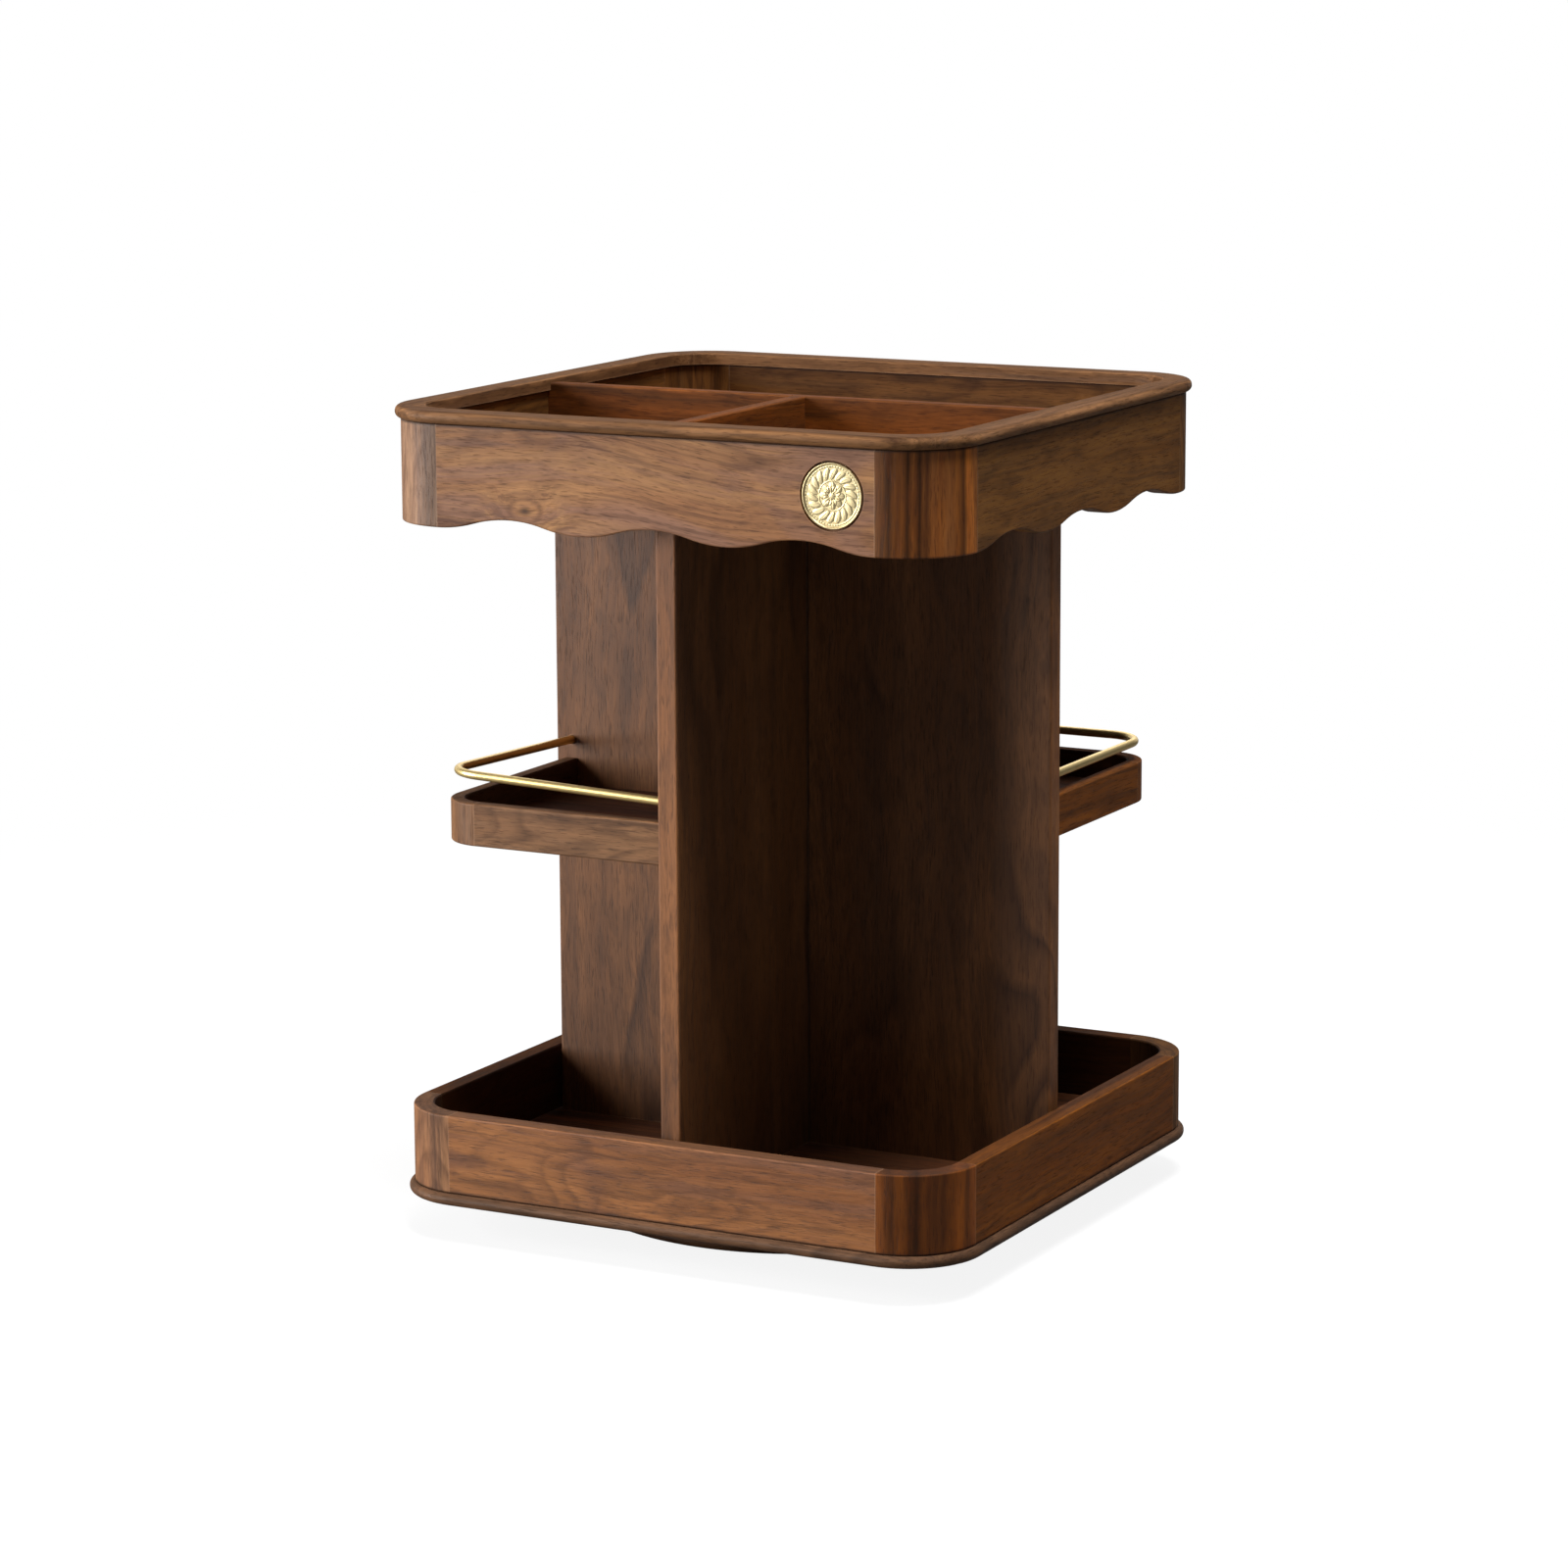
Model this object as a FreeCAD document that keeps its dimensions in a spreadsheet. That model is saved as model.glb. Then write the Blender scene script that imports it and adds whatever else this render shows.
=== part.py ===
import FreeCAD, Part
import math
import os
import re
import Sketcher

# A square revolving organizer of solid wood. +Z is up, the front is -Y, and the origin is the
# centre of the turntable foot on the surface that it stands on. All sizes are in millimetres.

DRIVING_SIZES = (
    # both trays
    ("tray_side", 250.0, "width and depth over the tray walls"),
    ("corner_radius", 29.0, "outer radius of the tray corners"),
    ("wall_thickness", 8.4, "boards of both trays"),
    ("edge_overhang", 2.3, "how far the base plate and the rim stand out past the walls"),
    ("bullnose_flat", 0.2, "flat left in the middle of a rounded edge"),
    ("arris", 0.8, "easing of the edges that are touched"),
    # turntable foot
    ("pad_thickness", 1.5, "anti-slip pads"),
    ("pad_radius", 9.0, "anti-slip pads"),
    ("pad_pitch_radius", 76.0, "pad centres from the axis"),
    ("pad_count", 4.0, "anti-slip pads"),
    ("foot_radius", 93.0, "round foot"),
    ("foot_thickness", 6.9, "round foot"),
    ("foot_edge_radius", 2.6, "rounding of the foot's rim"),
    # ring bearing
    ("bearing_height", 7.0, "from the foot's top to the base plate"),
    ("ring_height", 6.0, "each bearing ring"),
    ("ball_pitch_radius", 60.5, "ball centres from the axis"),
    ("ball_radius", 2.0, "bearing balls"),
    ("ball_clearance", 0.15, "between a ball and its groove or its pocket in the cage"),
    ("ball_count", 24.0, "bearing balls"),
    ("ring_gap", 1.6, "between the two rings"),
    ("inner_ring_width", 9.7, "ring on the foot, measured radially"),
    ("outer_ring_width", 9.2, "ring on the base, measured radially"),
    ("cage_thickness", 0.8, "spacer ring between the bearing rings"),
    ("cage_height", 5.6, "spacer ring"),
    ("ring_screw_count", 4.0, "screws in each ring"),
    ("ring_screw_radius", 1.4, "shank of the ring screws"),
    ("ring_screw_head_radius", 2.8, "head of the ring screws"),
    ("ring_screw_head_depth", 1.5, "countersunk head of the ring screws"),
    ("inner_screw_length", 10.5, "screws from the inner ring into the foot"),
    ("outer_screw_length", 12.5, "screws from the outer ring into the base"),
    ("screw_clearance", 0.06, "between a screw or a dowel and its hole"),
    ("access_radius", 4.0, "hole in the foot for driving the outer ring's screws"),
    # lower tray
    ("plate_thickness", 4.8, "base plate"),
    ("floor_thickness", 4.8, "floor board inside the lower tray"),
    ("floor_clearance", 0.2, "around the floor board"),
    ("base_wall_height", 32.3, "walls of the lower tray"),
    # upright panels
    ("panel_thickness", 9.2, "upright panels"),
    ("panel_height", 271.0, "upright panels"),
    ("panel_end_gap", 2.8, "between a panel's end and the tray wall"),
    ("panel_arris", 1.0, "easing of the panels' upright edges"),
    ("lap_clearance", 0.1, "on each side of the halving joint"),
    ("panel_screw_radius", 1.7, "shank of the panel screws"),
    ("panel_screw_head_radius", 3.6, "head of the panel screws"),
    ("panel_screw_head_depth", 2.0, "countersunk head of the panel screws"),
    ("panel_screw_length", 32.0, "panel screws"),
    ("inner_fixing_radius", 35.0, "inner panel screws and dowels from the axis"),
    ("outer_fixing_setback", 22.0, "outer panel screws and dowels from the panel's end"),
    ("panel_dowel_radius", 2.5, "dowels in the panels' top edges"),
    ("panel_dowel_below", 12.0, "dowel length in the panel"),
    ("panel_dowel_above", 4.0, "dowel length in the tray floor"),
    # shelf trays
    ("shelf_rise", 135.6, "underside of the shelves above the lower tray's floor"),
    ("shelf_setback", 4.0, "shelves' outer faces inside the panels' ends"),
    ("shelf_height", 17.3, "lips of the shelves"),
    ("shelf_floor_thickness", 6.0, "shelf floors"),
    ("shelf_corner_radius", 19.0, "outer radius of the shelf corners"),
    ("lip_thickness", 6.0, "lips of the shelves"),
    ("shelf_dowel_radius", 1.6, "dowels between the shelves and the panels"),
    ("shelf_dowel_in_panel", 3.6, "dowel length in the panel"),
    ("shelf_dowel_in_floor", 11.0, "dowel length in the shelf floor"),
    ("shelf_dowel_near", 28.0, "inner shelf dowels from the axis"),
    ("shelf_dowel_setback", 22.0, "outer shelf dowels from the shelf floor's edge"),
    # brass rails
    ("rail_radius", 1.75, "rod of the rails"),
    ("rail_inset", 3.2, "rod's centre line inside the shelf's outer face"),
    ("rail_clear_height", 5.85, "open height between the lip and the rail"),
    ("rail_bend_radius", 15.8, "bend of the rod at its centre line"),
    ("rail_hole_clearance", 0.25, "around the rod in its hole"),
    ("rail_end_clearance", 0.3, "between the rod's end and the bottom of its hole"),
    ("rail_lean", 4.0, "how far the left rail's corner stands above its ends"),
    # upper tray
    ("skirt_drop", 5.3, "lowest line of the skirt below the tray floor"),
    ("skirt_height", 41.0, "skirt boards at the corners"),
    ("wave_depth", 4.6, "height of the waves in the skirt's lower edge"),
    ("tray_floor_thickness", 6.0, "floor of the upper tray"),
    ("groove_depth", 4.0, "groove in the skirts for the tray floor"),
    ("groove_clearance", 0.2, "between the tray floor's edge and the groove"),
    ("rim_thickness", 5.0, "moulding on the skirts"),
    ("rim_width", 12.0, "moulding on the skirts"),
    ("divider_thickness", 6.5, "dividers of the upper tray"),
    ("divider_drop", 2.0, "dividers below the rim's top"),
    ("housing_depth", 1.5, "slot in the long divider for the short one"),
    ("divider_clearance", 0.1, "around the short divider's end"),
    # medallion
    ("medallion_radius", 12.8, "brass disc"),
    ("medallion_thickness", 1.9, "brass disc"),
    ("medallion_border", 1.1, "raised border of the disc"),
    ("medallion_relief", 0.45, "height of the relief over the disc's field"),
    ("medallion_petals", 8.0, "petals of the rosette"),
    ("medallion_petal_length", 7.6, "petals of the rosette"),
    ("medallion_boss_radius", 2.4, "centre of the rosette"),
    ("medallion_setback", 18.0, "medallion's centre to the left of the skirt's right joint"),
    ("medallion_rise", 22.4, "medallion's centre above the skirt's lowest line"),
    ("recess_radius", 13.5, "recess for the medallion"),
    ("recess_depth", 1.6, "recess for the medallion"),
)

WAVES_PER_SIDE = 3

doc = FreeCAD.newDocument("RotatingOrganizer")
sheet = doc.addObject("Spreadsheet::Sheet", "Sizes")
for row, (name, size, meaning) in enumerate(DRIVING_SIZES, start=1):
    sheet.set(f"A{row}", name)
    sheet.set(f"B{row}", str(size))
    sheet.set(f"C{row}", meaning)
    sheet.setAlias(f"B{row}", name)
doc.recompute()

SIZE_NAMES = re.compile(r"\b(" + "|".join(name for name, _, _ in DRIVING_SIZES) + r")\b")

# Places and sizes worked out from the driving ones. Each is an expression over the sheet.
half_side = "(tray_side / 2)"
inner_half = f"({half_side} - wall_thickness)"
edge_half = f"({half_side} + edge_overhang)"
edge_radius = "(corner_radius + edge_overhang)"
inner_radius = "(corner_radius - wall_thickness)"
straight_run = "(tray_side - 2 * corner_radius)"
corner_centre = f"({half_side} - corner_radius)"
wall_middle = f"({half_side} - wall_thickness / 2)"

foot_top = "(pad_thickness + foot_thickness)"
plate_bottom = f"({foot_top} + bearing_height)"
plate_top = f"({plate_bottom} + plate_thickness)"
floor_top = f"({plate_top} + floor_thickness)"
panel_top = f"({floor_top} + panel_height)"
panel_half_span = f"({inner_half} - panel_end_gap)"
panel_face = "(panel_thickness / 2)"
outer_fixing_radius = f"({panel_half_span} - outer_fixing_setback)"

inner_ring_outside = "(ball_pitch_radius - ring_gap / 2)"
outer_ring_inside = "(ball_pitch_radius + ring_gap / 2)"
inner_ring_inside = f"({inner_ring_outside} - inner_ring_width)"
outer_ring_outside = f"({outer_ring_inside} + outer_ring_width)"
ball_height = f"({foot_top} + bearing_height / 2)"
outer_ring_bottom = f"({plate_bottom} - ring_height)"
race_radius = "(ball_radius + ball_clearance)"
inner_screw_pitch = f"({inner_ring_inside} + (inner_ring_width - ball_radius) / 2)"
outer_screw_pitch = f"({outer_ring_outside} - (outer_ring_width - ball_radius) / 2)"

shelf_bottom = f"({floor_top} + shelf_rise)"
shelf_top = f"({shelf_bottom} + shelf_height)"
shelf_reach = f"({panel_half_span} - shelf_setback)"
shelf_inside = f"({shelf_reach} - lip_thickness)"
shelf_bend = f"({shelf_reach} - shelf_corner_radius)"
shelf_dowel_far = f"({shelf_inside} - shelf_dowel_setback)"
shelf_inner_radius = "(shelf_corner_radius - lip_thickness)"
shelf_dowel_height = f"({shelf_bottom} + shelf_floor_thickness / 2)"
rail_height = f"({shelf_top} + rail_clear_height + rail_radius)"
rail_line = f"({shelf_reach} - rail_inset)"

skirt_bottom = f"({panel_top} - skirt_drop)"
skirt_top = f"({skirt_bottom} + skirt_height)"
rim_top = f"({skirt_top} + rim_thickness)"
rim_inner_half = f"({edge_half} - rim_width)"
tray_floor_top = f"({panel_top} + tray_floor_thickness)"
divider_top = f"({rim_top} - divider_drop)"
medallion_x = f"({straight_run} / 2 - medallion_setback)"
medallion_height = f"({skirt_bottom} + medallion_rise)"

X_AXIS = FreeCAD.Vector(1, 0, 0)
Y_AXIS = FreeCAD.Vector(0, 1, 0)
Z_AXIS = FreeCAD.Vector(0, 0, 1)
UPRIGHT = FreeCAD.Rotation()

# The four corners, by the angle about Z that turns the corner at +X +Y into each of them.
CORNERS = (("back_right", 0), ("back_left", 90), ("front_left", 180), ("front_right", 270))

# The four sides, by the angle about Z that turns the front into each of them.
SIDES = (("front", 0), ("right", 90), ("back", 180), ("left", 270))

sub_parts = []


def value(expression):
    """Returns what an expression over the sheet comes to."""
    return float(sheet.evalExpression(str(expression)))


def bind(item, prop, expression):
    """Ties a property of an object to an expression over the sheet."""
    item.setExpression(prop, SIZE_NAMES.sub(r"Sizes.\1", str(expression)))


def place(item, x="0", y="0", z="0", rotation=UPRIGHT):
    """Places an object, its position tied to the sheet."""
    item.Placement = FreeCAD.Placement(FreeCAD.Vector(value(x), value(y), value(z)), rotation)
    for axis, expression in (("x", x), ("y", y), ("z", z)):
        bind(item, f"Placement.Base.{axis}", expression)
    return item


def turned(x, y, angle):
    """Turns a pair of expressions about the axis by a multiple of 90 degrees."""
    quarter_turns = {
        0: (x, y),
        90: (f"-({y})", x),
        180: (f"-({x})", f"-({y})"),
        270: (y, f"-({x})"),
    }
    return quarter_turns[angle % 360]


def new_body(label):
    """Starts a body with the label of its sub-part."""
    body = doc.addObject("PartDesign::Body", label)
    body.Label = label
    return body


def keep(item, label=None):
    """Lists a finished object as a sub-part."""
    if label:
        item.Label = label
    sub_parts.append(item)
    return item


def new_sketch(body, name, plane="XY_Plane", offset="0"):
    """Puts a sketch on one of the body's own origin planes, or parallel to it."""
    sketch = body.newObject("Sketcher::SketchObject", f"{body.Name}_{name}")
    support = next(item for item in body.Origin.OriginFeatures if item.Role == plane)
    sketch.AttachmentSupport = (support, [""])
    sketch.MapMode = "FlatFace"
    sketch.AttachmentOffset = FreeCAD.Placement(FreeCAD.Vector(0, 0, value(offset)), UPRIGHT)
    if offset != "0":
        bind(sketch, "AttachmentOffset.Base.z", offset)
    return sketch


def fix_coordinate(sketch, kind, edge, end, expression):
    """Holds one coordinate of an edge's end at an expression over the sheet."""
    size = value(expression)
    if abs(size) < 1e-9:
        axis = -2 if kind == "DistanceX" else -1
        sketch.addConstraint(Sketcher.Constraint("PointOnObject", edge, end, axis))
        return
    if size > 0:
        points = (-1, 1, edge, end)
    else:
        points = (edge, end, -1, 1)
        expression = f"-({expression})"
    number = sketch.addConstraint(Sketcher.Constraint(kind, *points, abs(size)))
    name = f"{kind}_{edge}_{end}"
    sketch.renameConstraint(number, name)
    bind(sketch, f"Constraints.{name}", expression)


def outline(sketch, corners):
    """
    Draws a closed outline. Each corner is (x, y), or (x, y, radius, side) where an arc leads to
    the next corner, its centre to the left (1) or the right (-1) of the way there.
    """
    points = [FreeCAD.Vector(value(corner[0]), value(corner[1]), 0) for corner in corners]
    ends = []
    for number, corner in enumerate(corners):
        here = points[number]
        there = points[(number + 1) % len(points)]
        if len(corner) == 2:
            edge = sketch.addGeometry(Part.LineSegment(here, there))
            ends.append((edge, 1, 2))
            continue
        radius = value(corner[2])
        side = corner[3]
        chord = there - here
        left = FreeCAD.Vector(-chord.y, chord.x, 0)
        left.normalize()
        rise = math.sqrt(max(radius ** 2 - (chord.Length / 2) ** 2, 0.0))
        centre = (here + there) * 0.5 + left * (rise * side)
        first, last = (here, there) if side > 0 else (there, here)
        start = math.atan2(first.y - centre.y, first.x - centre.x)
        stop = math.atan2(last.y - centre.y, last.x - centre.x)
        if stop < start:
            stop += 2 * math.pi
        circle = Part.Circle(centre, Z_AXIS, radius)
        edge = sketch.addGeometry(Part.ArcOfCircle(circle, start, stop))
        ends.append((edge, 1, 2) if side > 0 else (edge, 2, 1))
    for number, corner in enumerate(corners):
        edge, start, _ = ends[number]
        before, _, stop = ends[number - 1]
        sketch.addConstraint(Sketcher.Constraint("Coincident", before, stop, edge, start))
        fix_coordinate(sketch, "DistanceX", edge, start, corner[0])
        fix_coordinate(sketch, "DistanceY", edge, start, corner[1])
        if len(corner) > 2:
            radius = Sketcher.Constraint("Radius", edge, value(corner[2]))
            name = f"Radius_{edge}"
            sketch.renameConstraint(sketch.addConstraint(radius), name)
            bind(sketch, f"Constraints.{name}", corner[2])
    return sketch


def circle(sketch, x, y, radius):
    """Draws a circle with its centre and radius tied to the sheet."""
    centre = FreeCAD.Vector(value(x), value(y), 0)
    edge = sketch.addGeometry(Part.Circle(centre, Z_AXIS, value(radius)))
    fix_coordinate(sketch, "DistanceX", edge, 3, x)
    fix_coordinate(sketch, "DistanceY", edge, 3, y)
    number = sketch.addConstraint(Sketcher.Constraint("Radius", edge, value(radius)))
    sketch.renameConstraint(number, f"Radius_{edge}")
    bind(sketch, f"Constraints.Radius_{edge}", radius)
    return sketch


def rectangle(left, right, low, high):
    """Corners of an upright rectangle."""
    return [(left, low), (right, low), (right, high), (left, high)]


def rounded_square(half, radius):
    """Corners of a square about the origin with rounded corners."""
    near = f"({half} - {radius})"
    return [
        (f"-{near}", f"-{half}"),
        (near, f"-{half}", radius, 1),
        (half, f"-{near}"),
        (half, near, radius, 1),
        (near, half),
        (f"-{near}", half, radius, 1),
        (f"-{half}", near),
        (f"-{half}", f"-{near}", radius, 1),
    ]


def quarter_ring(outside, inside):
    """Corners of the quarter of a ring that lies towards +X +Y."""
    return [(outside, "0", outside, 1), ("0", outside), ("0", inside, inside, -1), (inside, "0")]


def extrude(body, kind, name, sketch, length, symmetric=False, backwards=False):
    """Adds a pad or a pocket along the sketch's normal."""
    feature = body.newObject(f"PartDesign::{kind}", f"{body.Name}_{name}")
    feature.Profile = sketch
    feature.SideType = "Symmetric" if symmetric else "One side"
    feature.Reversed = backwards
    bind(feature, "Length", length)
    doc.recompute()
    return feature


def revolve(body, name, sketch):
    """Turns a sketch on the XZ plane all the way round the body's Z axis."""
    feature = body.newObject("PartDesign::Revolution", f"{body.Name}_{name}")
    feature.Profile = sketch
    feature.ReferenceAxis = (sketch, ["V_Axis"])
    feature.Angle = 360
    doc.recompute()
    return feature


def repeat_round(body, name, originals, count, angle=360):
    """Repeats features round the body's Z axis."""
    pattern = body.newObject("PartDesign::PolarPattern", f"{body.Name}_{name}")
    pattern.Originals = originals
    upright = next(item for item in body.Origin.OriginFeatures if item.Role == "Z_Axis")
    pattern.Axis = (upright, [""])
    pattern.Angle = angle
    bind(pattern, "Occurrences", count)
    body.Tip = pattern
    doc.recompute()
    return pattern


def round_edges(body, name, feature, radius, wanted):
    """Rounds the edges of a feature that a test picks out."""
    edges = [f"Edge{number}" for number, edge in enumerate(feature.Shape.Edges, 1) if wanted(edge)]
    rounding = body.newObject("PartDesign::Fillet", f"{body.Name}_{name}")
    rounding.Base = (feature, edges)
    bind(rounding, "Radius", radius)
    doc.recompute()
    return rounding


def at_height(edge, height):
    """Tells whether a whole edge lies at one height."""
    box = edge.BoundBox
    return abs(box.ZMin - height) < 1e-4 and abs(box.ZMax - height) < 1e-4


def reach(edge):
    """Gives how far an edge's middle lies from the axis, in the larger of X and Y."""
    middle = edge.valueAt((edge.FirstParameter + edge.LastParameter) / 2)
    return max(abs(middle.x), abs(middle.y))


def cut_with(blank, tools, label):
    """Cuts drillings out of a blank, and keeps what is left as a sub-part."""
    tool = tools[0]
    if len(tools) > 1:
        tool = doc.addObject("Part::Compound", f"{label}_tools")
        tool.Links = tools
    cut = doc.addObject("Part::Cut", label)
    cut.Base = blank
    cut.Tool = tool
    doc.recompute()
    return keep(cut, label)


def rod(name, radius, length, x, y, z, direction=Z_AXIS):
    """Makes a cylinder from a point along a direction."""
    cylinder = doc.addObject("Part::Cylinder", name)
    bind(cylinder, "Radius", radius)
    bind(cylinder, "Height", length)
    return place(cylinder, x, y, z, FreeCAD.Rotation(Z_AXIS, direction))


# Foot and ring bearing


def screw_set(label, pitches, head_at, sense, sizes, count, first_angle=0, clearance="0"):
    """
    Makes countersunk screws that stand in circles round the axis, or with a clearance the tool
    that cuts their holes. They point up where sense is 1 and down where it is -1.
    """
    head_radius, head_depth, shank_radius, length = sizes
    body = new_body(label)
    turns = []
    for number, pitch in enumerate(pitches):
        sketch = new_sketch(body, f"profile_{number}", "XZ_Plane")
        head = f"({head_radius} + {clearance})"
        shank = f"({shank_radius} + {clearance})"
        point = f"({length} - {shank_radius} + {clearance})"
        reach_depth = f"({length} + {clearance})"
        corners = [
            (pitch, "0"),
            (f"{pitch} + {head}", "0"),
            (f"{pitch} + {shank}", f"{sense} * {head_depth}"),
            (f"{pitch} + {shank}", f"{sense} * {point}"),
            (pitch, f"{sense} * {reach_depth}"),
        ]
        outline(sketch, corners)
        axis_line = sketch.addGeometry(
            Part.LineSegment(
                FreeCAD.Vector(value(pitch), -value(length), 0),
                FreeCAD.Vector(value(pitch), value(length), 0),
            ),
            True,
        )
        sketch.addConstraint(Sketcher.Constraint("Vertical", axis_line))
        fix_coordinate(sketch, "DistanceX", axis_line, 1, pitch)
        turn = body.newObject("PartDesign::Revolution", f"{label}_turn_{number}")
        turn.Profile = sketch
        turn.ReferenceAxis = (sketch, ["Axis0"])
        turn.Angle = 360
        doc.recompute()
        turns.append(turn)
    repeat_round(body, "circle", turns, count)
    place(body, z=head_at, rotation=FreeCAD.Rotation(Z_AXIS, first_angle))
    return body


RING_SCREW = ("ring_screw_head_radius", "ring_screw_head_depth", "ring_screw_radius")
PANEL_SCREW = ("panel_screw_head_radius", "panel_screw_head_depth", "panel_screw_radius")
INNER_RING_SCREWS = dict(
    pitches=[inner_screw_pitch],
    head_at=f"{foot_top} + ring_height",
    sense=-1,
    sizes=RING_SCREW + ("inner_screw_length",),
    count="ring_screw_count",
)
OUTER_RING_SCREWS = dict(
    pitches=[outer_screw_pitch],
    head_at=outer_ring_bottom,
    sense=1,
    sizes=RING_SCREW + ("outer_screw_length",),
    count="ring_screw_count",
    first_angle=45,
)
PANEL_SCREWS = dict(
    pitches=["inner_fixing_radius", outer_fixing_radius],
    head_at=plate_bottom,
    sense=1,
    sizes=PANEL_SCREW + ("panel_screw_length",),
    count="4",
)


def make_foot():
    """Round wooden foot, its pads, and the holes for the inner ring's screws."""
    body = new_body("foot_blank")
    sketch = new_sketch(body, "profile", "XZ_Plane")
    outline(sketch, rectangle("0", "foot_radius", "0", "foot_thickness"))
    disc = revolve(body, "disc", sketch)
    round_edges(body, "rim", disc, "foot_edge_radius", lambda edge: reach(edge) > 1)
    place(body, z="pad_thickness")
    access_x = f"{outer_screw_pitch} * cos(45)"
    access = rod("access_hole", "access_radius", "3 * foot_thickness", access_x, access_x, "0")
    pilot = screw_set("inner_ring_pilot", clearance="screw_clearance", **INNER_RING_SCREWS)
    cut_with(body, [access, pilot], "foot_disc")

    pads = new_body("foot_pads")
    sketch = new_sketch(pads, "outline")
    circle(sketch, "pad_pitch_radius", "0", "pad_radius")
    pad = extrude(pads, "Pad", "pad", sketch, "pad_thickness")
    repeat_round(pads, "circle", [pad], "pad_count")
    keep(place(pads))


def race_height():
    """Half the height of the ball groove where it meets the ring's face."""
    return f"sqrt({race_radius} ^ 2 - (ring_gap / 2) ^ 2)"


def make_bearing():
    """Two concentric rings with balls between them, held apart by a thin cage."""
    inner_centre = f"({ball_height} - {foot_top})"
    outer_centre = f"({ball_height} - {outer_ring_bottom})"
    rings = (
        ("inner", inner_ring_inside, inner_ring_outside, inner_centre, foot_top, -1),
        ("outer", outer_ring_outside, outer_ring_inside, outer_centre, outer_ring_bottom, 1),
    )
    for name, far_face, race_face, centre, bottom, side in rings:
        body = new_body(f"{name}_ring_blank")
        sketch = new_sketch(body, "profile", "XZ_Plane")
        corners = [
            (far_face, "0"),
            (race_face, "0"),
            (race_face, f"{centre} - {race_height()}", race_radius, side),
            (race_face, f"{centre} + {race_height()}"),
            (race_face, "ring_height"),
            (far_face, "ring_height"),
        ]
        outline(sketch, corners)
        revolve(body, "ring", sketch)
        place(body, z=bottom)
        screws = INNER_RING_SCREWS if name == "inner" else OUTER_RING_SCREWS
        tool = screw_set(f"{name}_ring_drill", clearance="screw_clearance", **screws)
        cut_with(body, [tool], f"bearing_{name}_ring")
        keep(screw_set(f"{name}_ring_screws", **screws))

    balls = new_body("bearing_balls")
    sketch = new_sketch(balls, "profile", "XZ_Plane")
    corners = [
        ("ball_pitch_radius", "-ball_radius", "ball_radius", 1),
        ("ball_pitch_radius + ball_radius", "0", "ball_radius", 1),
        ("ball_pitch_radius", "ball_radius"),
    ]
    outline(sketch, corners)
    ball = balls.newObject("PartDesign::Revolution", "bearing_balls_ball")
    ball.Profile = sketch
    ball.ReferenceAxis = (sketch, ["Edge3"])
    ball.Angle = 360
    doc.recompute()
    repeat_round(balls, "circle", [ball], "ball_count")
    place(balls, z=ball_height)
    keep(balls)

    cage = new_body("ball_cage")
    sketch = new_sketch(cage, "ring", "XY_Plane", "-cage_height / 2")
    circle(sketch, "0", "0", "ball_pitch_radius + cage_thickness / 2")
    circle(sketch, "0", "0", "ball_pitch_radius - cage_thickness / 2")
    extrude(cage, "Pad", "ring", sketch, "cage_height")
    sketch = new_sketch(cage, "window", "YZ_Plane")
    circle(sketch, "0", "0", race_radius)
    window = extrude(cage, "Pocket", "window", sketch, "2 * ball_pitch_radius", backwards=True)
    repeat_round(cage, "circle", [window], "ball_count")
    place(cage, z=ball_height)
    keep(cage)


# Lower tray


def eased_board(label, length, thickness, height, eased_heights):
    """Straight board along X, standing on its long edge, centred on its own origin."""
    body = new_body(label)
    sketch = new_sketch(body, "plan")
    half_length = f"({length} / 2)"
    half_thickness = f"({thickness} / 2)"
    corners = rectangle(f"-{half_length}", half_length, f"-{half_thickness}", half_thickness)
    outline(sketch, corners)
    board = extrude(body, "Pad", "board", sketch, height)
    levels = [value(level) for level in eased_heights]
    if levels:
        run = value(length)
        round_edges(
            body,
            "arris",
            board,
            "arris",
            lambda edge: edge.Length > run - 1e-4 and any(at_height(edge, z) for z in levels),
        )
    return body


def corner_block(label, outside, inside, height, eased_heights):
    """Quarter of a ring with upright grain, centred on its own origin."""
    body = new_body(label)
    outline(new_sketch(body, "plan"), quarter_ring(outside, inside))
    block = extrude(body, "Pad", "block", body.Group[-1], height)
    levels = [value(level) for level in eased_heights]
    if levels:
        round_edges(
            body,
            "arris",
            block,
            "arris",
            lambda edge: "Circle" in edge.Curve.TypeId and any(at_height(edge, z) for z in levels),
        )
    return body


def bullnosed(body, plate, thickness, half):
    """Rounds the outer top and bottom edges of a plate, leaving a narrow flat between them."""
    outside = value(half)
    corner_reach = outside - value(edge_radius) * (1 - math.sqrt(0.5))
    rounding = f"({thickness} - bullnose_flat) / 2"
    levels = (0.0, value(thickness))
    return round_edges(
        body,
        "bullnose",
        plate,
        rounding,
        lambda edge: reach(edge) > corner_reach - 0.1 and any(at_height(edge, z) for z in levels),
    )


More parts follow.
